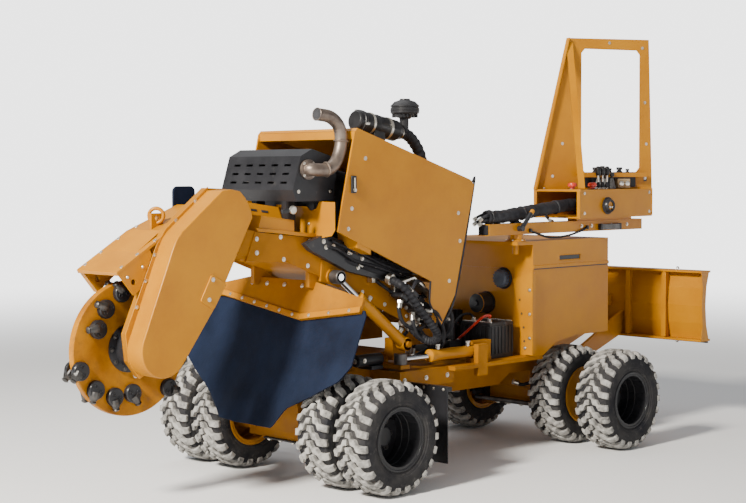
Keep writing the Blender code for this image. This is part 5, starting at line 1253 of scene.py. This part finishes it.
for t in BOOT_PLACES:
    spot = on_guard(t, -0.060, 1.5225)
    rings = [(0, 0.0)]
    for k in range(6):
        rings += [(0.010 * k, 0.026 - 0.0022 * k), (0.010 * k + 0.006, 0.022 - 0.0022 * k)]
    rings += [(0.062, 0.010), (0.062, 0.0)]
    boots.append(turned(spot, UP, rings, 24))
piece("lever_boots_grey", "control_arm", GREY, *boots)
piece("boot_knobs", "control_arm", PLASTIC, *[turned(on_guard(t, -0.060, 1.584), UP,
        [(0, 0.0), (0, 0.006), (0.012, 0.006), (0.014, 0.014), (0.030, 0.015), (0.036, 0.008),
        (0.037, 0.0)], 20) for t in BOOT_PLACES])
piece("gauge_block", "control_arm", TAN, guard_block(0.575, 0.665, -0.055, -0.012, 1.5225, 1.582),
    bevel=0.004)
piece("gauge_faces", "control_arm", ZINC, *[turned(on_guard(t, -0.0552, 1.553), GUARD_NEAR,
        [(0, 0), (0, 0.016), (0.004, 0.016), (0.005, 0.012), (0.005, 0)], 24) for t in (0.598, 0.642)])
# Painted shade: a thin dark block stands for the dark inside of the guard's slot.
piece("post_slot_shade", "control_arm", DARK_METAL_AND_HOLE_SHADE, guard_block(0.80, 0.822, -0.0042, -0.0031, 1.565, 1.615))
guard_bolts = [(0.785, 2.40), (0.806, 2.06), (0.818, 1.80), (0.20, 1.80), (0.272, 2.32), (0.13, 1.60),
    (0.81, 1.585), (0.54, 2.425)]
piece("guard_bolts", "control_arm", ZINC, *[bolt(on_guard(t, -0.0032, z), GUARD_NEAR, 0.0065)
      for t, z in guard_bolts])
piece("guard_foot_bolts", "control_arm", ZINC, *[bolt((BX0 + 0.06 + 0.16 * i, BOX_FAR - 0.03 - 0.045 * i,
        BOX_TOP + 0.0065), UP, 0.006) for i in range(4)])
window_edge = [(0.36, 1.62), (0.334, 1.66), (0.334, 2.36), (0.36, 2.388), (0.745, 2.388), (0.77, 2.36),
    (0.77, 1.65), (0.745, 1.62), (0.36, 1.62)]
window_frame = []
for (t0, z0), (t1, z1) in zip(window_edge, window_edge[1:]):
    window_frame.append(rod(on_guard(t0, 0, z0), on_guard(t1, 0, z1), 0.0042, sides=10))
piece("window_edge", "control_arm", YELLOW, *window_frame)
for number, (x, y) in enumerate(((BX0 + 0.055, -0.40), (BX0 + 0.20, -0.44)), 1):
    body = f"stop_{number}"
    piece(f"stop_head_{number}", body, RED, turned((x, y, BOX_TOP + 0.006), UP,
          [(0, 0.0), (0, 0.0145), (0.010, 0.0145), (0.013, 0.027), (0.020, 0.0285), (0.030, 0.026),
            (0.036, 0.018), (0.038, 0.0)], 36), stands_for=[f"stop_button_{number}"])
    piece(f"stop_collar_{number}", "control_arm", BLACK,
        turned((x, y, BOX_TOP + 0.0002), UP, [(0, 0.0165), (0, 0.030), (0.005, 0.029), (0.006, 0.024),
            (0.006, 0.0165), (0, 0.0165)], 36))
for number in (1, 2, 3):
    x = BX0 + 0.27 + 0.045 * (number - 1)
    body = f"lever_{number}"
    piece(f"lever_stem_{number}", body, ZINC, rod((x, -0.43, BOX_TOP - 0.03), (x, -0.43, BOX_TOP + 0.095),
          0.0055), stands_for=[f"control_lever_{number}"])
    piece(f"lever_knob_{number}", body, PLASTIC, turned((x, -0.43, BOX_TOP + 0.084), UP,
          [(0, 0.0), (0, 0.009), (0.010, 0.0155), (0.030, 0.0165), (0.048, 0.0145), (0.056, 0.008),
            (0.057, 0.0)], 24))
    folds = [(0, 0.0)]
    for k in range(4):
        folds += [(0.004 + 0.008 * k, 0.019 - 0.003 * k), (0.008 + 0.008 * k, 0.016 - 0.003 * k)]
    folds += [(0.036, 0.006), (0.036, 0.0)]
    piece(f"lever_bellows_{number}", body, RUBBER, turned((x, -0.43, BOX_TOP + 0.0085), UP, folds, 24))
piece("lever_plate", "control_arm", BLACK, *[block((BX0 + 0.2335, -0.43 + s * 0.040 - 0.005,
        BOX_TOP + 0.0002), (BX0 + 0.3965, -0.43 + s * 0.040 + 0.005, BOX_TOP + 0.003)) for s in (-1, 1)],
    bevel=0.001)
fitted_hose("box_hose_1", "control_arm", [(BX0 - 0.005, -0.26, 1.43), (BX0 - 0.06, -0.28, 1.415),
      (BX0 - 0.13, -0.33, 1.40), (BX0 - 0.19, -0.345, 1.388)], 0.009)
fitted_hose("box_hose_2", "control_arm", [(BX0 - 0.005, -0.22, 1.40), (BX0 - 0.05, -0.27, 1.375),
      (BX0 - 0.10, -0.34, 1.345), (BX0 - 0.11, -0.375, 1.3315)], 0.0075)
piece("box_end_edge", "control_arm", YELLOW, *[block((BX0 - 0.003, y0, BOX_LOW - 0.001),
        (BX0 + 0.004, y1, BOX_TOP + 0.001)) for y0, y1 in ((BOX_NEAR - 0.002, BOX_NEAR + 0.022),
        (BOX_FAR - 0.022, BOX_FAR + 0.002))], bevel=0.001)
hose("sagging_cable", "control_arm", RUBBER, [(ARM_X + 0.08, -0.4205, 1.285), (ARM_X + 0.14, -0.428, 1.266),
      (ARM_X + 0.26, -0.430, 1.240), (ARM_X + 0.42, -0.430, 1.246), (ARM_X + 0.55, -0.4285, 1.270),
      (ARM_X + 0.62, -0.4225, 1.290)], 0.0065)
piece("cable_clips", "control_arm", BLACK, *[block((x - 0.008, -0.434, z - 0.010),
        (x + 0.008, -0.4201, z + 0.012)) for x, z in ((ARM_X + 0.08, 1.285), (ARM_X + 0.62, 1.290))],
    bevel=0.001)
piece("arm_connector", "control_arm", GREY, block((ARM_X + 0.74, -0.4205 - 0.022, 1.272),
      (ARM_X + 0.94, -0.4202, 1.306)), bevel=0.003)
piece("arm_connector_ends", "control_arm", BLACK,
    block((ARM_X + 0.735, -0.4445, 1.270), (ARM_X + 0.755, -0.4202, 1.308)),
    block((ARM_X + 0.925, -0.4445, 1.270), (ARM_X + 0.945, -0.4202, 1.308)), bevel=0.002)

# Blade: cutting edge with countersunk bolts, rib caps, pins at the arms.
blade_x = REAR + 0.98 - 0.10
piece("blade_cutting_edge", "blade", STEEL, slab([(blade_x + 0.049, 0.545), (blade_x + 0.062, 0.545),
        (blade_x + 0.040, 0.64), (blade_x + 0.027, 0.64)], -0.757, 0.757), bevel=0.0015)
piece("blade_edge_bolts", "blade", ZINC, *[turned((blade_x + 0.0475, y, 0.60), (1, 0, 0.23),
        [(0, 0.0), (0, 0.016), (0.004, 0.013), (0.0045, 0)], 20)
      for y in [-0.66 + 0.22 * i for i in range(7)]])
piece("blade_rib_caps", "blade", YELLOW, *[block((blade_x - 0.030, y - 0.016, 0.575),
        (blade_x - 0.024, y + 0.016, 0.985)) for y in (-0.48, -0.20, 0.20, 0.48)], bevel=0.0015)
piece("blade_hooks", "blade", ZINC, *[ring((blade_x + 0.022, y, z), (0, 1, 0), 0.014, 0.004, 20, 8)
      for y in (-0.55, 0.55) for z in (1.006, 0.554)])
piece("blade_end_plates", "blade", YELLOW, *[slab([(blade_x - 0.030, 0.558), (blade_x + 0.060, 0.558),
        (blade_x + 0.030, 0.66), (blade_x + 0.020, 0.78), (blade_x + 0.030, 0.90), (blade_x + 0.060, 1.000),
        (blade_x - 0.030, 1.000), (blade_x - 0.014, 0.90), (blade_x - 0.022, 0.78),
        (blade_x - 0.014, 0.66)], y0, y1) for y0, y1 in ((-0.7615, -0.7560), (0.7560, 0.7615))],
    bevel=0.0012)
pivot_x = REAR + 0.10
piece("blade_arm_pins", "blade", BLACK, *[turned((pivot_x, s * 0.148, 0.39), (0, s, 0),
        [(0, 0), (0, 0.032), (0.010, 0.032), (0.014, 0.026), (0.014, 0)], 28) for s in (-1, 1)])
fitted_hose("blade_hose_1", "blade_barrel", [(REAR + 0.31, 0.03, 0.62), (REAR + 0.35, 0.05, 0.67),
      (REAR + 0.42, 0.045, 0.69), (REAR + 0.50, 0.03, 0.705)], 0.009)

# Chassis: deck bolts, axle plates, mudguards behind the front wheels and hoses to the axles.
# The motor flanges and their hoses stay with the chassis when the rear knuckles steer.
DECK_SIDE = 0.4002
piece("deck_side_bolts", "chassis", ZINC, *[bolt((x, s * DECK_SIDE, 0.505), (0, s, 0), 0.009)
      for s in (-1, 1) for x in (0.45, 0.62, 0.79)])
under = [block((x - 0.065, -0.17, 0.190), (x + 0.065, 0.17, 0.1995)) for x in (0, REAR)]
piece("axle_plates", "chassis", BLACK, *under, bevel=0.002)
piece("axle_plate_bolts", "chassis", ZINC, *[bolt((x + dx, y, 0.1898), (0, 0, -1), 0.011) for x in (0, REAR)
      for dx in (-0.045, 0.045) for y in (-0.14, -0.05, 0.05, 0.14)])
flanges, flange_bolts = [], []
for s in (-1, 1):
    flanges.append(turned((REAR, s * 0.201, TYRE_R), (0, s, 0),
          [(0, 0), (0, 0.100), (0.016, 0.100), (0.016, 0.070), (0.016, 0)], 40))
    flange_bolts += [bolt((REAR + 0.088 * cos(a), s * 0.2172, TYRE_R + 0.088 * sin(a)), (0, s, 0), 0.008)
        for a in [2 * pi * i / 8 for i in range(8)]]
piece("motor_flanges", "chassis", BLACK, *flanges, bevel=0.0015)
piece("motor_flange_bolts", "chassis", ZINC, *flange_bolts)
for s, side in ((-1, "near"), (1, "far")):
    fitted_hose(f"rear_motor_hose_{side}", "chassis",
        [(REAR - 0.20, s * 0.12, 0.352), (REAR - 0.16, s * 0.16, 0.335), (REAR - 0.09, s * 0.22, 0.37),
          (REAR - 0.03, s * 0.25, 0.395), (REAR, s * 0.26, 0.366)], 0.010)
    fitted_hose(f"front_axle_hose_{side}", "chassis",
        [(0.16, s * 0.172, 0.44), (0.13, s * 0.205, 0.43), (0.07, s * 0.235, 0.38), (0.03, s * 0.245, 0.33),
          (0.02, s * 0.245, 0.302)], 0.010)
    y0, y1 = sorted((s * 0.402, s * 0.70))
    piece(f"mudguard_bracket_{side}", "chassis", BLACK, block((0.47, y0, 0.470), (0.50, y1, 0.496)),
        bevel=0.002)
    y0, y1 = sorted((s * 0.50, s * 0.70))
    piece(f"mudguard_{side}", "chassis", BLACK, block((0.464, y0, 0.09), (0.4698, y1, 0.492)), bevel=0.0015)
    piece(f"mudguard_bolts_{side}", "chassis", ZINC,
        *[bolt((0.4638, s * y, 0.482), FRONT, 0.006) for y in (0.53, 0.60, 0.67)])
